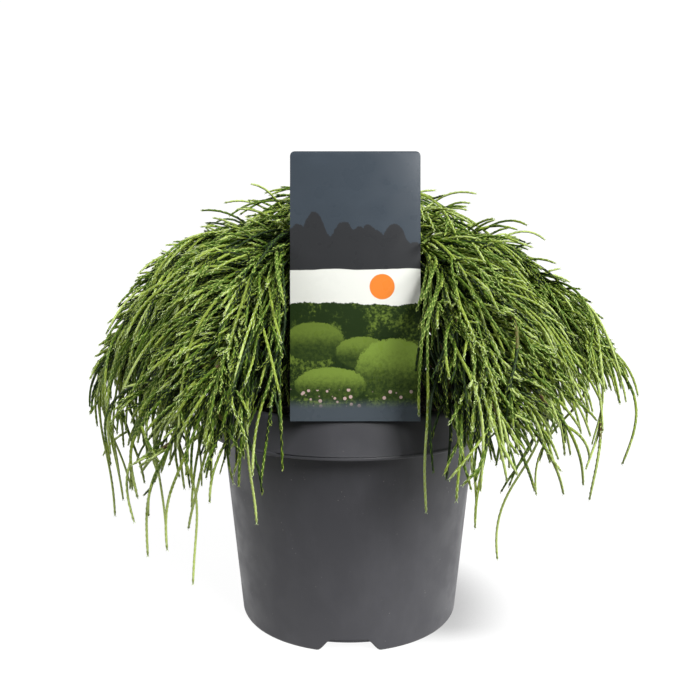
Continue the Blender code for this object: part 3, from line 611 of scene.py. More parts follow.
def thick_shape(corners, depth, edge):
    """A flat shape in the XZ plane, extruded along +Y, its edges bevelled."""
    bm = flat_shape(corners)
    moved = bmesh.ops.extrude_face_region(bm, geom=bm.faces[:])["geom"]
    verts = [item for item in moved if isinstance(item, bmesh.types.BMVert)]
    bmesh.ops.translate(bm, verts=verts, vec=(0, depth, 0))
    bmesh.ops.recalc_face_normals(bm, faces=bm.faces)
    rims = [e for e in bm.edges if abs(e.verts[0].co.y - e.verts[1].co.y) < 0.01 * MM]
    bmesh.ops.bevel(
        bm, geom=rims, offset=edge, segments=2, profile=0.5, affect="EDGES", material=-1,
        clamp_overlap=True,
    )
    return bm


def joined(parts):
    """Several bmeshes as one."""
    whole = bmesh.new()
    for part in parts:
        mesh = finished(part, "part")
        whole.from_mesh(mesh)
        bpy.data.meshes.remove(mesh)
    return whole


# The pot and its fill

def wall_radius(z):
    """The pot's outside radius at this height, below the rim."""
    return POT_FOOT_RADIUS + (POT_NECK_RADIUS - POT_FOOT_RADIUS) * z / POT_NECK_Z


def inner_radius(z):
    return wall_radius(z) - POT_WALL


def band_radius(z):
    """The outside of the rim's band at this height."""
    share = (z - BAND_FOOT_Z) / (BAND_TOP_Z - BAND_FOOT_Z)
    return RIM_RADIUS - RIM_STEP + (RIM_TOP_RADIUS - RIM_RADIUS + RIM_STEP) * share


def limited(share):
    return min(max(share, 0), 1)


def eased(size, share):
    """Runs smoothly from 0 to size as the share runs from 0 to 1."""
    share = limited(share)
    return size * share**2 * (3 - 2 * share)


def pot_wall(sides):
    """The pot's wall with its rim band, and the notches in its foot."""
    web_z = POT_HEIGHT - 2 * RIM_ROUND
    low = *mm(4, 6, 8, 10.5), NOTCH_ZONE
    corners = [
        (inner_radius(0), 0, 0.3 * MM),
        (wall_radius(0) - FOOT_CHAMFER / 2, 0, 0.4 * MM),
        (wall_radius(FOOT_CHAMFER), FOOT_CHAMFER, 0.5 * MM),
        *((wall_radius(z), z, 0) for z in (*low, *mm(45, 85), POT_NECK_Z, web_z)),
        (RIM_TOP_RADIUS - POT_WALL, web_z, 0),
        (RIM_RADIUS - POT_WALL, POT_NECK_Z, 0.3 * MM),
        (RIM_RADIUS, POT_NECK_Z, 0.6 * MM),
        (RIM_RADIUS, POT_NECK_Z + RIM_LIP, 0.45 * MM),
        (band_radius(BAND_FOOT_Z), BAND_FOOT_Z, 0.3 * MM),
        *((band_radius(z * MM), z * MM, 0) for z in np.arange(130.5, 148, 1.6)),
        (band_radius(POT_HEIGHT), POT_HEIGHT, 2.2 * MM),
        (inner_radius(POT_HEIGHT), POT_HEIGHT, 1.1 * MM),
        *((inner_radius(z), z, 0) for z in (85 * MM, *reversed(low))),
    ]
    bm = spun(corners, sides)
    slope = (POT_NECK_RADIUS - POT_FOOT_RADIUS) / POT_NECK_Z
    foot, top = NOTCH_FOOT_WIDTH / 2 + NOTCH_SOFT[1], NOTCH_TOP_WIDTH / 2 - NOTCH_SOFT[0]
    for vert in bm.verts:
        flat = vert.co.xy
        turn = math.atan2(flat.y, flat.x) + math.pi / 2
        turn -= round(turn / math.tau) * math.tau
        if vert.co.z < NOTCH_ZONE:
            turn -= round(turn / math.tau * NOTCH_COUNT) * math.tau / NOTCH_COUNT
            share = (foot - abs(turn) * POT_FOOT_RADIUS) / (foot - top)
            rise = eased(NOTCH_HEIGHT, share) * (1 - vert.co.z / NOTCH_ZONE)
            flat *= 1 + slope * rise / flat.length
            vert.co = (flat.x, flat.y, vert.co.z + rise)
        elif flat.length > RIM_TOP_RADIUS - 0.5 * POT_WALL:
            flat *= 1 + panel_rise(turn, vert.co.z) / flat.length
            vert.co = (flat.x, flat.y, vert.co.z)
    return bm


def panel_rise(turn, z):
    """How far the panel on the band's front stands out there. turn is measured from the front."""
    share = limited((z - BAND_FOOT_Z) / (BAND_TOP_Z - BAND_FOOT_Z))
    half = PANEL_FOOT_WIDTH / 2 + (PANEL_TOP_WIDTH - PANEL_FOOT_WIDTH) / 2 * share**0.7
    rise = eased(PANEL_STANDS_OUT, (half - abs(turn) * RIM_RADIUS) / PANEL_EDGE)
    return rise if z > BAND_FOOT_Z else 0


def pot_floor():
    """The pot's floor with its drain holes and small centre foot."""
    top = FLOOR_UNDERSIDE_Z + FLOOR_THICKNESS
    edge = inner_radius(top) + POT_WALL / 3
    corners = [
        (0, 0, 0),
        (CENTRE_FOOT_RADIUS, 0, 0.6 * MM),
        (CENTRE_FOOT_RADIUS + FLOOR_UNDERSIDE_Z / 2, FLOOR_UNDERSIDE_Z, 0.8 * MM),
        (edge, FLOOR_UNDERSIDE_Z, 0),
        (edge, top, 0),
        (0, top, 0),
    ]
    cutter = bmesh.new()
    for k in range(DRAIN_COUNT):
        angle = math.tau * (k + 0.5) / DRAIN_COUNT
        x, y = DRAIN_RING_RADIUS * math.cos(angle), DRAIN_RING_RADIUS * math.sin(angle)
        bmesh.ops.create_cone(
            cutter, cap_ends=True, segments=DRAIN_SIDES, radius1=DRAIN_RADIUS, radius2=DRAIN_RADIUS,
            depth=6 * FLOOR_THICKNESS, matrix=Matrix.Translation((x, y, FLOOR_UNDERSIDE_Z)),
        )
    floor = placed("floor", finished(spun(corners, FLOOR_SIDES), "floor"))
    drains = placed("drains", finished(cutter, "drains"))
    modifier = floor.modifiers.new("drains", "BOOLEAN")
    modifier.operation, modifier.solver, modifier.object = "DIFFERENCE", "EXACT", drains
    bm = evaluated(floor)
    bpy.data.objects.remove(drains)
    return bm


def compost_fill():
    """The pot's fill, crumbly on top and level where the trunk stands."""
    low = FLOOR_UNDERSIDE_Z + FLOOR_THICKNESS + GAP
    room = 1.5 * GAP
    edge = inner_radius(COMPOST_Z) - room
    corners = [
        (0, low, 0), (inner_radius(low) - room, low, 0), (edge, COMPOST_Z - 1.5 * MM, 0),
        *((radius, COMPOST_Z, 0) for radius in np.arange(edge - 0.8 * MM, 2 * MM, -2.2 * MM)),
        (0, COMPOST_Z, 0),
    ]
    bm = spun(corners, COMPOST_SIDES)
    for vert in bm.verts:
        radius = vert.co.xy.length
        if vert.co.z > COMPOST_Z - GAP and radius > COMPOST_FLAT_RADIUS:
            share = min((radius - COMPOST_FLAT_RADIUS) / LUMPS_RISE_WITHIN, 1)
            lump = noise.fractal(vert.co / LUMP_SIZE, 0.7, 2.1, 4)
            vert.co.z += share * 1.5 * MM * max(min(lump, 1), -1)
    return bm


def compost_chips(count):
    """Chips of bark and crumbs, strewn on the compost, as corner and face arrays."""
    rng = np.random.default_rng(CHIPS_SEED)
    nearest, furthest = TRUNK_RADII[0] + 3 * MM, inner_radius(COMPOST_Z) - 4 * MM
    radius = np.sqrt(rng.uniform(nearest**2, furthest**2, count))
    angle = rng.uniform(0, math.tau, count)
    length, width = rng.gamma(3, 0.75, count) + 0.6, rng.gamma(3, 0.4, count) + 0.5
    half = np.column_stack((length, width, rng.uniform(0.3, 0.9, count))) * MM
    frames = turned_frames(rng, count, 0.35)
    shape = (
        (1, 0.5, 0), (0.6, -1, 0.4), (-1, -0.6, 0.2),
        (-0.7, 1, -0.2), (0.2, 0.1, 1), (0.1, 0, -1),
    )
    corners = [half * corner * rng.uniform(0.7, 1.15, (count, 3)) for corner in shape]
    corners = np.stack([np.einsum("nij,nj->ni", frames, corner) for corner in corners], 1)
    height = np.full(count, COMPOST_Z + 0.7 * MM)
    corners += np.column_stack((radius * np.cos(angle), radius * np.sin(angle), height))[:, None]
    faces = [(k, (k + 1) % 4, 4) for k in range(4)] + [((k + 1) % 4, k, 5) for k in range(4)]
    faces = np.array(faces)[None, :, ::-1] + 6 * np.arange(count)[:, None, None]
    return corners.reshape(-1, 3), faces.reshape(-1, 3)


def turned_frames(rng, count, tilt):
    """Random turns about Z, each tilted a little."""
    spin, lean, side = rng.uniform(0, math.tau, count), *rng.normal(0, tilt, (2, count))
    x = unit(np.column_stack((np.cos(spin), np.sin(spin), lean)))
    z = np.column_stack((-side * np.sin(spin), side * np.cos(spin), np.ones(count)))
    y = unit(np.cross(z, x))
    return np.stack((x, y, np.cross(x, y)), 2)


# The label

def label_panel():
    """The panel, upright at the origin, with rounded top corners and soft edges."""
    half, high, corner = LABEL_WIDTH / 2, LABEL_HEIGHT, LABEL_CORNER
    outline = [(-half, 0, 0), (half, 0, 0), (half, high, corner), (-half, high, corner)]
    bm = thick_shape(outline, LABEL_THICKNESS, 0.2 * MM)
    lean = Matrix.Rotation(-LABEL_LEAN, 3, "X")
    bmesh.ops.rotate(bm, verts=bm.verts, cent=(0, 0, 0), matrix=lean)
    bmesh.ops.translate(bm, verts=bm.verts, vec=LABEL_FOOT - Vector((0, LABEL_THICKNESS, 0)))
    return bm


def label_hook():
    """The bridge over the pot's rim and the stake down into the compost."""
    x, half, tip = LABEL_FOOT.x, STAKE_WIDTH / 2, STAKE_TIP_WIDTH / 2
    low, shoulder = POT_HEIGHT + GAP, STAKE_FOOT_Z + STAKE_POINT
    high = low + LABEL_THICKNESS
    outline = [(x - half, low, 0), (x + half, low, 0), (x + half, high, 0), (x - half, high, 0)]
    bridge = thick_shape(outline, STAKE_INSIDE_Y - LABEL_FOOT.y + GAP, 0.15 * MM)
    bmesh.ops.translate(bridge, verts=bridge.verts, vec=(0, LABEL_FOOT.y, 0))
    outline = [
        (x - half, high, 0), (x - half, shoulder, MM), (x - tip, STAKE_FOOT_Z, MM),
        (x + tip, STAKE_FOOT_Z, MM), (x + half, shoulder, MM), (x + half, high, 0),
    ]
    stake = thick_shape(outline, LABEL_THICKNESS, 0.15 * MM)
    lean = Matrix.Rotation(STAKE_LEAN, 3, "X")
    bmesh.ops.rotate(stake, verts=stake.verts, cent=(0, 0, POT_HEIGHT), matrix=lean)
    bmesh.ops.translate(stake, verts=stake.verts, vec=(0, STAKE_INSIDE_Y, 0))
    return joined([bridge, stake])


# The trunk and boughs

def trunk_axis(share):
    """The trunk's centre line, from 0 at the foot to 1 at the tip."""
    return TRUNK_FOOT.lerp(TRUNK_TIP, share) + TRUNK_BOW * math.sin(math.pi * share)


def limb(points, radii, sides):
    """A tapering limb through these points, with flat ends."""
    curve = bpy.data.curves.new("limb", "CURVE")
    curve.dimensions = "3D"
    curve.bevel_depth = 1
    curve.bevel_resolution = sides // 2 - 2
    curve.use_fill_caps = True
    spline = curve.splines.new("POLY")
    spline.points.add(len(points) - 1)
    for point, place, radius in zip(spline.points, points, radii):
        point.co = (*place, 1)
        point.radius = radius
    bm = evaluated(placed("limb", curve))
    bpy.data.curves.remove(curve)
    bmesh.ops.remove_doubles(bm, verts=bm.verts, dist=0.001 * MM)
    bmesh.ops.recalc_face_normals(bm, faces=bm.faces)
    return bm


def furrowed(bm, relief, size):
    """Gives a limb's sides the long ridges and furrows of stringy bark."""
    bm.normal_update()
    moves = []
    for vert in bm.verts:
        spot = Vector((vert.co.x, vert.co.y, vert.co.z * BARK_STRETCH)) / size
        ridge = 1 - 2 * abs(noise.fractal(spot, 0.8, 2.2, 4))
        moves.append(0 if abs(vert.normal.z) > 0.95 else relief * (ridge - 0.4))
    for vert, move in zip(bm.verts, moves):
        vert.co += vert.normal * move
    return bm


def trunk_mesh(relief):
    shares = np.linspace(0, 1, TRUNK_STEPS)
    radii = np.interp(shares, TRUNK_STATIONS, TRUNK_RADII)
    bm = limb([trunk_axis(share) for share in shares], radii, TRUNK_SIDES)
    for vert in bm.verts:
        vert.co.z = min(max(vert.co.z, TRUNK_FOOT.z), TRUNK_TIP.z)
    furrowed(bm, relief, TRUNK_FURROWS)
    for vert in bm.verts:
        vert.co.z = max(vert.co.z, TRUNK_FOOT.z)
    return bm


def bough_mesh(space, relief):
    """A bough from inside the trunk to its mass's stem."""
    end, heading = stem_start(space)
    root = trunk_axis(space["bough_leaves"])
    reach = (end - root).length
    away = Vector((heading.x, heading.y, BOUGH_RISE)).normalized()
    handles = root + away * reach * 0.4, end - heading * reach * 0.3
    points = interpolate_bezier(root, *handles, end - heading * STEP, BOUGH_STEPS)
    points.append(end + heading * GAP)
    bm = limb(points, np.linspace(*BOUGH_RADII, BOUGH_STEPS + 1), BOUGH_SIDES)
    return furrowed(bm, relief * BOUGH_RELIEF, BOUGH_FURROWS)


# How the foliage grows

def unit(vectors):
    return vectors / np.maximum(np.linalg.norm(vectors, axis=-1, keepdims=True), 1e-9)


def between(pair, share):
    return pair[0] + (pair[1] - pair[0]) * share


def from_axis(points):
    """How far each point is from the pot's axis."""
    return np.linalg.norm(points[:, :2], axis=1)


def headings(bearing, rise):
    """The ways towards these bearings, rising this much."""
    rise = np.broadcast_to(rise, len(bearing))
    return unit(np.column_stack((np.cos(bearing), np.sin(bearing), rise)))


def roundness(x, y):
    """How round a shell is towards this place. 2 is an ellipse, less is a straighter slope."""
    right = np.clip(x / np.maximum(np.hypot(x, y), 1e-6), 0, 1)
    return SHELL_ROUND[0] + (SHELL_ROUND[1] - SHELL_ROUND[0]) * right


def shell_at(points, shell):
    """Each point's height over its shell, and the shell's outward, downhill and sideways ways."""
    reach, spring = between(SHELL_REACH, shell), between(SHELL_SPRING_Z, shell)
    offset = points - np.column_stack((shell * SHELL_SHIFT[0], shell * SHELL_SHIFT[1], spring))
    offset[:, 2] = np.maximum(offset[:, 2], 0)
    deep = np.where(offset[:, 1] < 0, between(SHELL_FRONT, shell), reach)
    half = np.column_stack((reach, deep, between(SHELL_TOP_Z, shell) - spring))
    part = offset / half
    across = np.maximum(np.hypot(part[:, 0], part[:, 1]), 1e-3)
    power = roundness(offset[:, 0], offset[:, 1])
    level = (across**power + part[:, 2]**power) ** (1 / power)
    slope = part / half
    slope[:, :2] *= (across ** (power - 2))[:, None]
    slope[:, 2] = part[:, 2] ** (power - 1) / half[:, 2]
    slope *= (level ** (1 - power))[:, None]
    steepness = np.linalg.norm(slope, axis=1)
    outward = slope / steepness[:, None]
    downhill = unit(outward * outward[:, 2:] - (0, 0, 1))
    return (level - 1) / steepness, outward, downhill, unit(np.cross((0, 0, 1), outward))


def shell_z(x, y, shell):
    """The height of a shell over this place."""
    reach, spring = between(SHELL_REACH, shell), between(SHELL_SPRING_Z, shell)
    across, along = x - shell * SHELL_SHIFT[0], y - shell * SHELL_SHIFT[1]
    deep = between(SHELL_FRONT, shell) if along < 0 else reach
    power = float(roundness(across, along))
    share = max(1 - math.hypot(across / reach, along / deep) ** power, 0)
    return spring + (between(SHELL_TOP_Z, shell) - spring) * share ** (1 / power)


def label_back(z):
    """The y of the label's back at this height."""
    return LABEL_FOOT.y + (z - LABEL_FOOT.z) * math.tan(LABEL_LEAN)


def beside_label(points, room=ROOM):
    return np.abs(points[:, 0] - LABEL_FOOT.x) > LABEL_WIDTH / 2 + room


def grow(threads, length, sway, rng, turn_length=TURN_LENGTH, lengths=None):
    """Paths of threads, given their starts, ways, shells and bearings. Fine ones have lengths."""
    place, way, shell, bearing = threads
    phase = rng.uniform(0, math.tau, len(place))
    wave = WAVE_LENGTH if lengths is None else WAVE_LENGTH * rng.uniform(*FINE_WAVES, len(place))
    path, droop = [place], np.zeros(len(place))
    for k in range(int(length / STEP)):
        place = place + way * STEP
        path.append(place)
        height, outward, downhill, sideways = shell_at(place, shell)
        radial = place[:, :2] - TRUNK_TIP[:2]
        turn = (bearing - np.arctan2(radial[:, 1], radial[:, 0]) + math.pi) % math.tau - math.pi
        aim = np.linalg.norm(radial, axis=1) * turn / BEARING_GRIP
        aim = np.clip(aim, -BEARING_PULL, BEARING_PULL)
        aim += sway * np.sin(math.tau * k * STEP / wave + phase)
        if lengths is not None:
            droop = np.minimum(k * STEP / lengths, 1) ** DROOP_LATE
        lift = np.clip(-height / SHELL_GRIP, -SHELL_PULL, SHELL_PULL) * (1 - LOOSEN * droop)
        wish = downhill + lift[:, None] * outward + aim[:, None] * sideways
        wish[:, 2] -= DROOP * droop
        wish = unit(wish)
        close = place[:, 1] < label_back(place[:, 2]) + TURN_LENGTH + ROOM
        stopped = close & ~beside_label(place)
        wish[stopped] = unit(wish[stopped] * (1, 0, 0) + BEHIND_LABEL_WAY)
        way = unit(way + (wish - way) * STEP / turn_length)
    return np.stack(path, 1)


def hem_z(points, turns=HEM_TURNS, heights=HEM_Z):
    """How low a thread may hang at each place."""
    further = np.maximum(from_axis(points) - HEM_RISES_FROM, 0)
    return np.interp(np.arctan2(points[:, 0], -points[:, 1]), turns, heights) + HEM_RISE * further


def off_pot(points, room):
    return (from_axis(points) > RIM_RADIUS + room) | (points[:, 2] > POT_HEIGHT + room)


def inside(points, space):
    """Whether each point lies in its mass's space, clear of the sides of it."""
    low, high = (shell_at(points, np.full(len(points), shell))[0] for shell in space["shells"])
    radius = from_axis(points - TRUNK_TIP)
    fits = (low > ROOM) & (high < -ROOM)
    fits &= (radius > space["hole"] + ROOM) & (radius < space["reach"] - ROOM)
    for x, y, offset in space["walls"]:
        fits &= points[:, 0] * x + points[:, 1] * y > offset + ROOM
    fits &= beside_label(points) | (points[:, 1] > label_back(points[:, 2]) + ROOM)
    return fits & off_pot(points, POT_ROOM) & (points[:, 2] > hem_z(points))


def trimmed(path, length, space):
    """The path up to its length, or to the edge of its space. Its first two points are its root."""
    path = path[: int(length / STEP) + 1]
    fits = inside(path, space)
    fits[:2] = True
    return path if fits.all() else path[: int(np.argmin(fits))]


def wall(bearing, side):
    """A plane through the crown's axis, as (x, y, offset). side is 1 for its anticlockwise side."""
    x, y = -math.sin(bearing) * side, math.cos(bearing) * side
    return x, y, x * TRUNK_TIP.x + y * TRUNK_TIP.y


def sector(name, low, spread, facts):
    """A space between two walls, with its facts."""
    centre = low + spread / 2
    return {
        **facts, "name": name, "bearing": centre, "stem_bearing": centre, "spread": spread,
        "walls": (wall(low, 1), wall(low + spread, -1)), "reach": 1,
    }


def sectors():
    """Every space but the top one."""
    first = FRONT_BEARING + FRONT_SPREAD / 2
    found = [sector("front", FRONT_BEARING - FRONT_SPREAD / 2, FRONT_SPREAD, FRONT)]
    for tier, facts in (("outer", OUTER), ("inner", INNER)):
        spread = (math.tau - FRONT_SPREAD) / facts["count"]
        for k in range(facts["count"]):
            space = sector(f"{tier}_{k + 1}", first + k * spread, spread, facts)
            space["bough_leaves"] = between(facts["boughs_leave"], k * BOUGH_TURN % 1)
            found.append(space)
        found[-1]["stem_bearing"] += STEM_LEANS * spread
        found[-facts["count"]]["stem_bearing"] -= STEM_LEANS * spread
    return found


def stem_start(space):
    """Where a mass's stem starts, and which way it heads. Its bough's tip ends there."""
    bearing, radius = space["stem_bearing"], space["hole"] + 2 * MM
    x, y = TRUNK_TIP.x + radius * math.cos(bearing), TRUNK_TIP.y + radius * math.sin(bearing)
    heading = Vector((math.cos(bearing), math.sin(bearing), STEM_RISE)).normalized()
    return Vector((x, y, shell_z(x, y, space["stem_shell"]))), heading


def grown_stem(space, rng):
    start, heading = stem_start(space)
    stem = start + heading * GAP / 2, heading, space["stem_shell"], space["stem_bearing"]
    path = grow([np.array([fact]) for fact in stem], space["stem_length"], STEM_SWAY, rng)[0]
    return trimmed(path, space["stem_length"], space)


def side_threads(space, stem, count, rng):
    """Threads that leave a stem by turns left and right, as grow takes them."""
    turns = np.arange(count)
    index = 2 + ((turns + rng.uniform(*BRANCH_PLACES, count)) / count * (len(stem) - 3)).astype(int)
    along = unit(stem[index + 1] - stem[index - 1])
    side = np.where(turns % 2, 1.0, -1.0)
    shell = between(space["shells"], rng.uniform(*BRANCH_SHELLS, count))
    bearing = space["bearing"] + side * rng.uniform(*BRANCH_SPREADS, count) * space["spread"]
    outward, sideways = shell_at(stem[index], shell)[1::2]
    heading = turned(along, sideways, side, rng.uniform(*BRANCH_ANGLES, count))
    return stem[index], unit(heading + BRANCH_LIFT * outward), shell, bearing


def turned(along, aside, side, angle):
    """The ways along, turned aside by an angle, to one side or the other."""
    return along * np.cos(angle)[:, None] + aside * (side * np.sin(angle))[:, None]


class Threads:
    """Paths of threads, each with its shell and bearing. Short ones are left out."""

    def __init__(self, paths, shells, bearings):
        kept = [k for k, path in enumerate(paths) if len(path) >= FEWEST_POINTS]
        paths = [paths[k] for k in kept]
        self.counts = np.array([len(path) for path in paths])
        most = self.counts.max()
        padded = [np.vstack((path, np.repeat(path[-1:], most - len(path), 0))) for path in paths]
        self.table = np.stack(padded)
        self.shells, self.bearings = np.asarray(shells)[kept], np.asarray(bearings)[kept]


def mass_threads(space):
    """A mass's stem, and its threads and their forks. The last thread trails lowest."""
    rng = np.random.default_rng(sum(map(ord, space["name"])))
    stem = grown_stem(space, rng)
    threads = side_threads(space, stem, space["threads"], rng)
    threads[2][-1] = between(space["shells"], TRAILER_DEPTH)
    lengths = rng.uniform(*THREAD_LENGTHS, space["threads"])
    lengths[-1] = rng.uniform(*TRAILER_LENGTHS)
    grown = grow(threads, TRAILER_LENGTHS[1], THREAD_SWAY, rng)
    paths = [trimmed(path, length, space) for path, length in zip(grown, lengths)]
    shells, bearings = list(threads[2]), list(threads[3])
    for thread in [path for path in paths[::FORK_EVERY] if len(path) * STEP > SHORTEST_THREAD]:
        forks = side_threads(space, thread, 1, rng)
        fork = grow(forks, FORK_LENGTHS[1], THREAD_SWAY, rng)[0]
        paths.append(trimmed(fork, rng.uniform(*FORK_LENGTHS), space))
        shells.append(forks[2][0])
        bearings.append(forks[3][0])
    stem = Threads([stem], [space["stem_shell"]], [space["bearing"]])
    return stem, Threads(paths, shells, bearings)


def top_threads():
    """The stem and threads of the tuft over the trunk's tip, which arch over on all sides."""
    rng = np.random.default_rng(TUFT_SEED)
    count = TOP["threads"]
    stem = np.array(TRUNK_TIP) + np.outer(np.arange(0, TOP["stem_length"], STEP) + GAP, (0, 0, 1))
    bearing = math.tau * (np.arange(count) + rng.uniform(*TOP["thread_scatter"], count)) / count
    shell = rng.uniform(*TOP["thread_shells"], count)
    start = stem[-1 - np.arange(count) % 2], headings(bearing, TOP["thread_rise"]), shell, bearing
    threads = grow(start, TOP["reach"], THREAD_SWAY, rng)
    paths = [trimmed(thread, TOP["reach"], TOP) for thread in threads]
    return Threads([stem], [TOP["stem_shell"]], [0.0]), Threads(paths, shell, bearing)


# The finer threads

def clear(points, share, shell, outside):
    """Whether each point of a fine thread is inside the crown and clear of the pot and label."""
    radius = from_axis(points)
    height = points[:, 2] - LEFT_HIGHER * np.maximum(-points[:, 0] / radius, 0)
    fits = shell_at(points, np.interp(height, OUTSIDE_RISES, outside))[0] < 0
    back = label_back(points[:, 2])
    before = points[:, 1] < back - LABEL_THICKNESS - FINE_ROOM
    past_edge = points[:, 0] - LABEL_FOOT.x > LABEL_WIDTH / 2 - LABEL_OVERLAP
    behind = points[:, 1] > back + FINE_ROOM
    fits &= beside_label(points, FINE_ROOM) | behind | (before & past_edge)
    hems = [hem_z(points, FINE_HEM_TURNS, heights) for heights in (FINE_HEM_LOW, FINE_HEM_HIGH)]
    hem = between(hems, share)
    inner = INNER_HEM_RISE * np.maximum(INNER_HEM_SHELL - shell, 0) * (points[:, 0] / radius) ** 2
    return fits & off_pot(points, FINE_ROOM) & (points[:, 2] > hem + inner)


def cut(paths, fits, longest, shells, bearings):
    """Threads that end where they first don't fit, or at their longest."""
    ends = np.minimum(np.where(fits.all(1), fits.shape[1], np.argmin(fits, 1)), longest)
    return Threads([path[:end] for path, end in zip(paths, ends)], shells, bearings)


def grown_fine(threads, lengths, rng, outside=FINE_OUTSIDE):
    """Fine threads, each cut at its length or where it would leave the crown."""
    shell, bearing = threads[2:]
    grown = grow(threads, lengths.max(), FINE_SWAY, rng, FINE_TURN_LENGTH, lengths)
    steps = grown.shape[1]
    share = np.repeat(rng.uniform(0, 1, len(shell)) ** FINE_HEM_SHARE, steps)
    fits = clear(grown.reshape(-1, 3), share, np.repeat(shell, steps), outside)
    fits = fits.reshape(-1, steps)
    fits[:, :2] = True
    return cut(grown, fits, (lengths / STEP).astype(int) + 1, shell, bearing)


def numbered(number):
    """For counts such as 2 and 3, whose each item is, 0 0 1 1 1, and which of them, 0 1 0 1 2."""
    owner = np.repeat(np.arange(len(number)), number)
    return owner, np.arange(len(owner)) - np.repeat(np.cumsum(number) - number, number)


def finer(parents, apart, rule, rng, outside=FINE_OUTSIDE):
    """Threads that leave each parent by turns left and right, and droop with it."""
    number = np.maximum(1, np.round((parents.counts - 1) * STEP / apart)).astype(int)
    owner, turn = numbered(number)

    def drawn(least, most):
        return rng.uniform(least, most, len(owner))

    share = between(rule.along, (turn + drawn(*FINE_PLACES)) / number[owner])
    index = np.clip((share * (parents.counts[owner] - 1)).astype(int), 1, parents.counts[owner] - 2)
    along = unit(parents.table[owner, index + 1] - parents.table[owner, index - 1])
    side = np.where((turn + owner) % 2, 1.0, -1.0)
    bearing = parents.bearings[owner] + side * drawn(*rule.bearing_drift)
    shell = np.clip(parents.shells[owner] + drawn(*rule.shell_drift), *FINE_SHELLS)
    shell += drawn(*STRAY_SHELL) * (drawn(0, 1) < STRAY_SHARE)
    shell *= 1 - (1 - RIGHT_KEEPS) * np.maximum(np.cos(bearing), 0)
    start = parents.table[owner, index]
    outward, sideways = shell_at(start, shell)[1::2]
    aside = unit(sideways + outward * rng.normal(0, FINE_ROLL, len(owner))[:, None])
    heading = turned(along, aside, side, drawn(*FINE_ANGLES))
    heading = unit(heading + outward * drawn(*rule.lift)[:, None])
    lengths = drawn(*rule.lengths) * (1 - rule.shorter_at_tip * share)
    return grown_fine((start, heading, shell, bearing), lengths, rng, outside)


def tuft_threads(stem, rng, rule, bearing):
    """Threads that leave the tuft's stem towards these bearings."""
    start = stem.table[0, rng.integers(0, stem.counts[0], rule.count)]
    heading = headings(bearing, rng.uniform(*rule.rise, rule.count))
    shell = rng.uniform(*rule.shells, rule.count)
    return grown_fine((start, heading, shell, bearing), rng.uniform(*rule.lengths, rule.count), rng)


def stragglers(name, stem, rng):
    """The mass's single threads that trail far below the rest."""
    bearing, shell, low = map(np.array, STRAGGLERS[name])
    start = np.repeat(stem.table[:1, STRAGGLERS_FROM], len(low), 0)
    threads = start, headings(bearing, STEM_RISE), shell, bearing
    grown = grow(threads, STRAGGLER_LENGTH, THREAD_SWAY, rng, FINE_TURN_LENGTH)
    return cut(grown, grown[:, :, 2] > low[:, None], grown.shape[1], np.ones(len(low)), bearing)


# Thread and leaf meshes

class Strands:
    """Nodes evenly spaced along threads: place, three ways, thickness and share of the run."""

    def __init__(self, threads, spacing, radii, rng):
        number = np.maximum(2, np.floor((threads.counts - 1) * STEP / spacing).astype(int) + 1)
        self.owner, self.turn = numbered(number)
        self.last = number[self.owner] - 1
        self.share = self.turn / self.last
        spot = self.share * (threads.counts[self.owner] - 1)
        index = np.minimum(spot.astype(int), threads.counts[self.owner] - 2)
        here, there = threads.table[self.owner, index], threads.table[self.owner, index + 1]
        self.place = here + (there - here) * (spot - index)[:, None]
        ways = unit(np.gradient(threads.table, axis=1))
        first, final = ways[:, 0], ways[np.arange(len(number)), threads.counts - 1]
        guide = np.cross(first, final)
        straight = np.linalg.norm(guide, axis=1) < 0.1
        guide[straight] = np.cross(first, (0.31, 0.52, 0.79))[straight]
        self.along = unit(there - here)
        guide = unit(guide)[self.owner]
        guide = unit(guide - self.along * (guide * self.along).sum(1, keepdims=True))
        roll = rng.uniform(0, math.pi, len(number))[self.owner][:, None]
        self.across = guide * np.cos(roll) + np.cross(self.along, guide) * np.sin(roll)
        self.out = np.cross(self.along, self.across)
        self.radius = between(radii, self.share)
        self.ends_here = self.turn == self.last


def cores(strands, sides, thickness):
    """Tubes through the strands' nodes: their corners, quads and end faces, and each run's node."""
    k = np.arange(sides)
    angle = math.tau * k / sides
    across, out = strands.across[:, None], strands.out[:, None]
    ring = across * np.cos(angle)[:, None] + out * np.sin(angle)[:, None]
    radius = strands.radius * thickness * np.where(strands.ends_here, THREAD_END, 1)
    corners = strands.place[:, None] + ring * radius[:, None, None]
    start = np.flatnonzero(~strands.ends_here)
    low, low_next = start[:, None] * sides + k, start[:, None] * sides + (k + 1) % sides
    quads = np.stack((low, low_next, low_next + sides, low + sides), 2).reshape(-1, 4)
    first = np.flatnonzero(strands.turn == 0)[:, None] * sides + k[::-1]
    final = np.flatnonzero(strands.ends_here)[:, None] * sides + k
    return corners.reshape(-1, 3), quads, np.vstack((first, final)), start


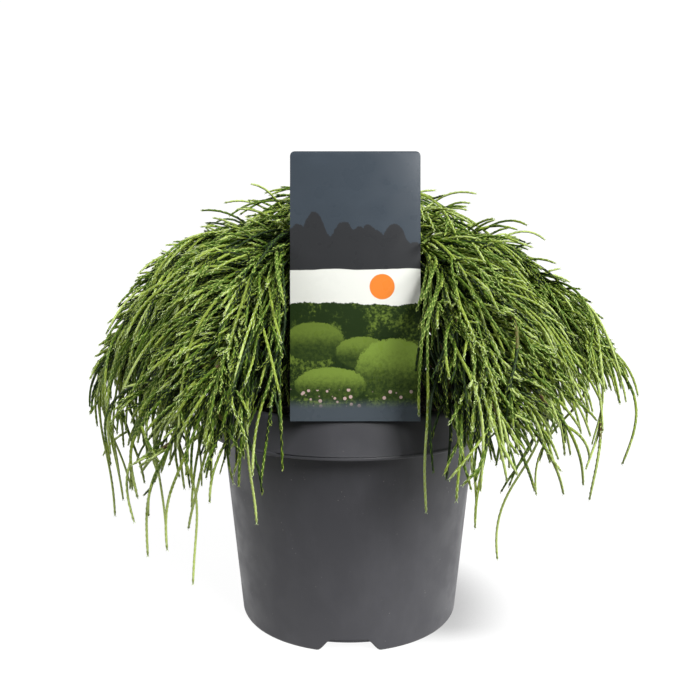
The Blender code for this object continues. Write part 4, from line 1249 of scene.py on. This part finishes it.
def leaves(strands, length, rng):
    """A pair of keeled scale leaves clasping each node, each pair at right angles to the last."""
    corners = []
    odd = (strands.turn % 2 == 1)[:, None]
    across = np.where(odd, strands.out, strands.across)
    out = np.where(odd, -strands.across, strands.out)
    radius = strands.radius[:, None]
    for side in (1, -1):
        reach = rng.uniform(*LEAF_REACHES, len(radius)) * np.where(strands.ends_here, LAST_LEAF, 1)
        reach = length * reach[:, None]
        spread = radius * rng.uniform(*LEAF_SPREADS, len(radius))[:, None]
        wide, keel = side * across * radius * LEAF_HALF_WIDTH, side * out
        base = strands.place + keel * radius * LEAF_BASE
        corners += [
            base + wide,
            base - wide,
            strands.place + strands.along * reach * 0.5 + keel * radius * LEAF_KEEL,
            strands.place + strands.along * reach + keel * spread,
        ]
    faces = np.array(((0, 2, 3), (1, 3, 2))) + 4 * np.arange(2 * len(radius))[:, None, None]
    return np.stack(corners, 1).reshape(-1, 3), faces.reshape(-1, 3)


def mesh_of(name, corners, faces, looks, materials, smooth=False):
    """A mesh of arrays of corners, of triangles or quads, and of their material numbers."""
    mesh = bpy.data.meshes.new(name)
    loops = np.concatenate([part.ravel() for part in faces])
    sizes = np.concatenate([np.full(len(part), part.shape[1]) for part in faces])
    mesh.vertices.add(len(corners))
    mesh.loops.add(len(loops))
    mesh.polygons.add(len(sizes))
    mesh.vertices.foreach_set("co", corners.astype(np.float32).ravel())
    mesh.loops.foreach_set("vertex_index", loops.astype(np.int32))
    mesh.polygons.foreach_set("loop_start", (np.cumsum(sizes) - sizes).astype(np.int32))
    mesh.polygons.foreach_set("material_index", np.concatenate(looks).astype(np.int32))
    mesh.polygons.foreach_set("use_smooth", np.full(len(sizes), smooth))
    for material in materials:
        mesh.materials.append(material)
    mesh.update(calc_edges=True)
    return mesh


class Pile:
    """Gathers arrays of corners and faces into one mesh."""

    def __init__(self):
        self.corners, self.faces, self.looks, self.count = [], [], [], 0

    def add(self, corners, faces, looks):
        self.corners.append(corners)
        self.faces += [part + self.count for part in faces]
        self.looks += looks
        self.count += len(corners)

    def add_piece(self, name, materials, smooth, node):
        """Adds it all to the plant as one piece."""
        mesh = mesh_of(name, np.vstack(self.corners), self.faces, self.looks, materials, smooth)
        piece(name, mesh, "foliage", node)


def add_mass(name, stem, threads, facts, twig_looks, leaf_looks, rng):
    """One mass: its twigs and its leaves, each kind a piece."""
    top = name == "top"
    sides = finer(threads, facts.side_apart / (TOP_CLOSER if top else 1), SIDE_THREADS, rng)
    if top:
        more = tuft_threads(stem, rng, TUFT, math.tau * (np.arange(TUFT.count) * BOUGH_TURN % 1))
        bearing = np.resize(CLOSES_TOWARDS, TUFT_CLOSES.count)
        bearing = bearing + rng.uniform(-1, 1, TUFT_CLOSES.count) * CLOSES_SPREAD
        fill = [tuft_threads(stem, rng, TUFT_CLOSES, bearing)]
    elif name == "front":
        more, curtain = (
            finer(stem, facts.side_apart / BEHIND_LABEL_CLOSER, rule, rng)
            for rule in (BEHIND_LABEL_THREADS, CURTAIN_THREADS)
        )
        fill = [curtain]
    else:
        more, fill = finer(stem, facts.side_apart / STEM_CLOSER, STEM_THREADS, rng), []
    if name.startswith("outer"):
        fill.append(finer(stem, facts.side_apart / CROWN_CLOSER, CROWN_THREADS, rng))
    if name in STRAGGLERS:
        fill.append(stragglers(name, stem, rng))
    twigs, scales = Pile(), Pile()
    radii = [share * facts.radius for share in STEM_THICK]
    strands = Strands(stem, STEM_BEND_APART, radii, rng)
    corners, quads, ends, _ = cores(strands, STEM_SIDES, 1)
    twigs.add(corners, [quads, ends], [np.zeros(len(quads)), np.zeros(len(ends))])
    tips = [finer(group, facts.tip_apart, TIP_THREADS, rng) for group in (sides, more)]
    for group, apart in ((threads, 1), (more, SPRIGS_APART)):
        tips.append(finer(group, apart * facts.sprig_apart, SPRIGS, rng))
    if top:
        tips.append(finer(more, CURLS_APART * facts.sprig_apart, CURLS, rng, CURLS_OUTSIDE))
    for groups, (thick, level) in zip(([threads], [sides, more], fill, tips), LEVELS):
        for group in groups:
            add_group(group, thick, level, facts, twigs, scales, rng)
    twigs.add_piece(f"twigs_{name}", twig_looks, True, f"foliage_{name}")
    scales.add_piece(f"leaves_{name}", leaf_looks, False, f"foliage_{name}")


def tints_of(glow, strands, darker=0):
    """The tint of each node, from 0 for the darkest to 4. A thread grows lighter to its tip,
    lighter low down by painted light, and darker beside the label by painted shade.
    """
    x, y, z = strands.place.T
    # Painted light: threads are lighter low down. Painted shade: they are darker beside the label.
    low = np.clip((HEM_PAINTED_LIGHT_FROM - z) / HEM_PAINTED_LIGHT_FROM, 0, 1)
    aside = np.abs(x - LABEL_FOOT.x) - LABEL_WIDTH / 2
    beside = np.clip(1 - aside / LABEL_PAINTED_SHADE_REACH, 0, 1) * (y < 0)
    beside = beside * np.interp(z, LABEL_PAINTED_SHADE_RISES, (1, 0))
    bright = glow[strands.owner] + TINT_BY_SHARE * (strands.share - TINT_EVEN_AT)
    bright = bright + HEM_PAINTED_LIGHT * low - LABEL_PAINTED_SHADE * beside - darker
    return np.clip(np.floor(bright * len(TINTS)), 0, len(TINTS) - 1)


def add_group(group, thick, level, facts, twigs, scales, rng):
    """Threads of one level, those deep in the crown with larger and fewer leaves."""
    deep = group.shells < SPARSE_UNDER
    radii = [share * facts.radius for share in thick]
    for chosen, sparser in ((~deep, 1.0), (deep, SPARSER)):
        if not chosen.any():
            continue
        part = [path[:count] for path, count in zip(group.table[chosen], group.counts[chosen])]
        part = Threads(part, group.shells[chosen], group.bearings[chosen])
        # Painted shade: threads on deeper shells get darker greens. Painted light: threads on the
        # right get lighter ones.
        glow = TINT_LOWEST + PAINTED_SHADE_BY_SHELL * np.clip(part.shells, 0, 1) + TINT_BY_LEVEL * level
        glow += rng.uniform(-TINT_VARIES, TINT_VARIES, len(part.counts))
        glow += RIGHT_PAINTED_LIGHT * np.cos(part.bearings)
        strands = Strands(part, BEND_APART * sparser, radii, rng)
        corners, quads, ends, start = cores(strands, TWIG_SIDES, CORE_THICKNESS)
        green = np.maximum(1 + tints_of(glow, strands, CORE_DARKER), 2)
        woody = np.where(part.shells < WOODY_FROM_SHELL, WOODY_INSIDE, WOODY_OUTSIDE)[strands.owner]
        look = np.where(strands.share < BROWN_SHARE, 0, 1)
        look = np.where((level == 0) & (strands.share < woody), look, green)
        looks = np.repeat(look[start], TWIG_SIDES), look[strands.turn == 0], look[strands.ends_here]
        twigs.add(corners, [quads, ends], looks)
        strands = Strands(part, facts.node * sparser, radii, rng)
        corners, faces = leaves(strands, facts.leaf * sparser, rng)
        scales.add(corners, [faces], [np.repeat(tints_of(glow, strands), 4)])


# The add-on's commands

class Command:
    """What every command does: it builds something from the settings that it names."""

    def execute(self, context):
        self.build(getattr(context.scene, self.settings))
        return {"FINISHED"}


class CYPRESS_OT_pot(Command, bpy.types.Operator):
    """Build the nursery pot with its rim band, notched foot and drained floor"""

    bl_idname = "cypress.pot"
    bl_label = "Pot"
    settings = "cypress_pot"

    def build(self, facts):
        whole = joined([pot_wall(facts.sides), pot_floor()])
        dressed("nursery_pot", whole, pot_plastic(facts), 32, "pot_plastic", "pot")


class CYPRESS_OT_compost(Command, bpy.types.Operator):
    """Fill the pot with crumbly compost and strew bark chips on it"""

    bl_idname = "cypress.compost"
    bl_label = "Compost"
    settings = "cypress_pot"

    def build(self, facts):
        dressed("compost_fill", compost_fill(), compost_finish(facts), 60, "compost", "compost")
        corners, faces = compost_chips(facts.chips)
        looks = np.repeat(np.random.default_rng(CHIP_TINTS_SEED).integers(0, 3, facts.chips), 8)
        dull = [0.5 * (a + b) for a, b in zip(facts.soil, facts.chip)]
        tints = ("dark", facts.soil, 0.95), ("brown", facts.chip, 0.9), ("dull", dull, 0.9)
        materials = [plain_finish(f"chip_{name}", *tint) for name, *tint in tints]
        chips = mesh_of("compost_chips", corners, [faces], [looks], materials)
        piece("compost_chips", chips, "compost", "compost")


class CYPRESS_OT_label(Command, bpy.types.Operator):
    """Build the printed label with its hook over the rim"""

    bl_idname = "cypress.label"
    bl_label = "Label"
    settings = "cypress_label"

    def build(self, facts):
        dressed("label_panel", label_panel(), label_print(facts), 30, "label_plastic", "label")
        plastic = plain_finish("label_plastic", facts.plastic, 0.4)
        dressed("label_hook", label_hook(), plastic, 30, "label_plastic", "label")


class CYPRESS_OT_bark(Command, bpy.types.Operator):
    """Build the trunk and boughs with the relief of their bark"""

    bl_idname = "cypress.bark"
    bl_label = "Trunk and Boughs"
    settings = "cypress_bark"

    def build(self, facts):
        bark = bark_finish(facts)
        dressed("trunk_bark", trunk_mesh(facts.relief), bark, 80, "bark", "trunk")
        for space in sectors():
            name = f"bough_{space['name']}"
            dressed(f"{name}_bark", bough_mesh(space, facts.relief), bark, 80, "bark", name)


class CYPRESS_OT_foliage(Command, bpy.types.Operator):
    """Grow the hanging threads of foliage, with their scale leaves"""

    bl_idname = "cypress.foliage"
    bl_label = "Foliage"
    settings = "cypress_foliage"

    def build(self, facts):
        leaf_looks = [
            plain_finish(f"foliage_{tint}", getattr(facts, tint), 0.6, 0.25) for tint in TINTS
        ]
        twig_looks = [
            plain_finish("twig_brown", facts.brown, 0.8),
            plain_finish("twig_olive", facts.olive, 0.7),
            *leaf_looks,
        ]
        masses = [(space["name"], *mass_threads(space)) for space in sectors()]
        masses.append(("top", *top_threads()))
        for number, mass in enumerate(masses):
            rng = np.random.default_rng(FINE_SEED + number)
            add_mass(*mass, facts, twig_looks, leaf_looks, rng)


class CYPRESS_OT_stage(Command, bpy.types.Operator):
    """Set up the pale floor, the soft light and the camera"""

    bl_idname = "cypress.stage"
    bl_label = "Stage"
    settings = "cypress_stage"

    def build(self, facts):
        bm = bmesh.new()
        bmesh.ops.create_grid(bm, x_segments=1, y_segments=1, size=FLOOR_SIZE)
        floor = placed("floor", finished(bm, "floor", floor_finish(facts)))
        floor.location.z = FLOOR_Z
        scene = bpy.context.scene
        scene.world = studio(facts)
        scene.view_settings.view_transform = "Standard"
        scene.view_settings.look = "None"
        for name, (way, spread) in SUNS.items():
            lamp(name, "SUN", way, energy=getattr(facts, name), angle=math.radians(spread))
        for name, (place, share) in BOXES.items():
            way = Vector(place) - Vector(BOXES_FACE)
            box = lamp(name, "AREA", way, shape="SQUARE", size=1, energy=share * facts.boxes)
            box.location = place
        camera = bpy.data.cameras.new("camera")
        camera.sensor_fit, camera.sensor_height, camera.lens = "VERTICAL", 36, facts.lens
        view = placed("camera", camera)
        view.location = (0, -facts.distance, facts.height)
        view.rotation_euler = (math.pi / 2 - facts.pitch, 0, 0)
        scene.camera = view


def floor_finish(facts):
    """A floor lit to white for the camera, with a painted shadow at the pot's right."""
    pale = Finish("floor", 0.9, 0)
    seen = pale.node("LightPath", "Is Camera Ray")
    x, y, _ = pale.axes()
    # Painted reflection: behind the pot the floor glows in glossy rays only, which lightens the
    # pot's sides.
    behind = pale.ramp(pale.plus(y, pale.times(x, 0.3)), -0.32, 0.02, 0, 0.9)
    # Painted shadow: the camera's glow is darkened near the pot's foot, on its right and behind,
    # where the floor is hemmed in.
    near = pale.node("AmbientOcclusion", "AO", {"Distance": facts.painted_shadow_reach}, samples=16)
    front = pale.ramp(y, -POT_FOOT_RADIUS, -0.5 * POT_FOOT_RADIUS)
    beside = pale.times(pale.ramp(x, 0, POT_FOOT_RADIUS), front)
    shade = pale.times(pale.ramp(near, 1, 0.5, 0, 0.55), beside)
    glow = pale.times(seen, pale.times(pale.less(1, shade), facts.glow))
    painted_reflection = pale.times(seen.node.outputs["Is Glossy Ray"], behind)
    pale.shader("Emission Strength", pale.plus(glow, painted_reflection))
    pale.shader("Emission Color", WHITE)
    return pale.base(pale.mix(seen, FLOOR_LIT, FLOOR_SEEN))


def studio(facts):
    """A world that is white to the camera and lights the plant faintly from all round."""
    world = bpy.data.worlds.new("studio")
    world.use_nodes = True
    nodes, links = world.node_tree.nodes, world.node_tree.links
    seen, lit = nodes["Background"], nodes.new("ShaderNodeBackground")
    share = nodes.new("ShaderNodeMixShader")
    for background, strength in ((seen, WORLD_SEEN), (lit, facts.surround)):
        background.inputs["Color"].default_value = (*WHITE, 1)
        background.inputs["Strength"].default_value = strength
    ray = nodes.new("ShaderNodeLightPath").outputs["Is Camera Ray"]
    for number, value in enumerate((ray, lit.outputs[0], seen.outputs[0])):
        links.new(value, share.inputs[number])
    links.new(share.outputs[0], nodes["World Output"].inputs["Surface"])
    return world


def lamp(name, kind, way, **facts):
    """A lamp of this kind that shines from this way."""
    light = bpy.data.lights.new(name, kind)
    for fact, value in facts.items():
        setattr(light, fact, value)
    obj = placed(name, light)
    obj.rotation_euler = Vector(way).to_track_quat("Z", "Y").to_euler()
    return obj


COMMANDS = (
    CYPRESS_OT_pot,
    CYPRESS_OT_compost,
    CYPRESS_OT_label,
    CYPRESS_OT_bark,
    CYPRESS_OT_foliage,
    CYPRESS_OT_stage,
)
SETTINGS = {
    PotSettings: "cypress_pot",
    LabelSettings: "cypress_label",
    FoliageSettings: "cypress_foliage",
    BarkSettings: "cypress_bark",
    StageSettings: "cypress_stage",
}


class CYPRESS_PT_panel(bpy.types.Panel):
    """Lists the sizes, the colours and a button for each piece"""

    bl_idname = "CYPRESS_PT_panel"
    bl_label = "Potted Thread Cypress"
    bl_space_type = "VIEW_3D"
    bl_region_type = "UI"
    bl_category = "Cypress"

    def draw(self, context):
        for kind, settings in SETTINGS.items():
            box = self.layout.box()
            for name in kind.__annotations__:
                box.prop(getattr(context.scene, settings), name)
        for command in COMMANDS:
            self.layout.operator(command.bl_idname)


def register():
    for kind, name in SETTINGS.items():
        bpy.utils.register_class(kind)
        setattr(bpy.types.Scene, name, PointerProperty(type=kind))
    for kind in (*COMMANDS, CYPRESS_PT_panel):
        bpy.utils.register_class(kind)


def unregister():
    for kind in (CYPRESS_PT_panel, *reversed(COMMANDS)):
        bpy.utils.unregister_class(kind)
    for kind, name in SETTINGS.items():
        delattr(bpy.types.Scene, name)
        bpy.utils.unregister_class(kind)


def main():
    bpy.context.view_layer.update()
    register()
    bpy.ops.cypress.pot()
    bpy.ops.cypress.compost()
    bpy.ops.cypress.label()
    bpy.ops.cypress.bark()
    bpy.ops.cypress.foliage()
    bpy.ops.cypress.stage()


if __name__ == "__main__":
    main()
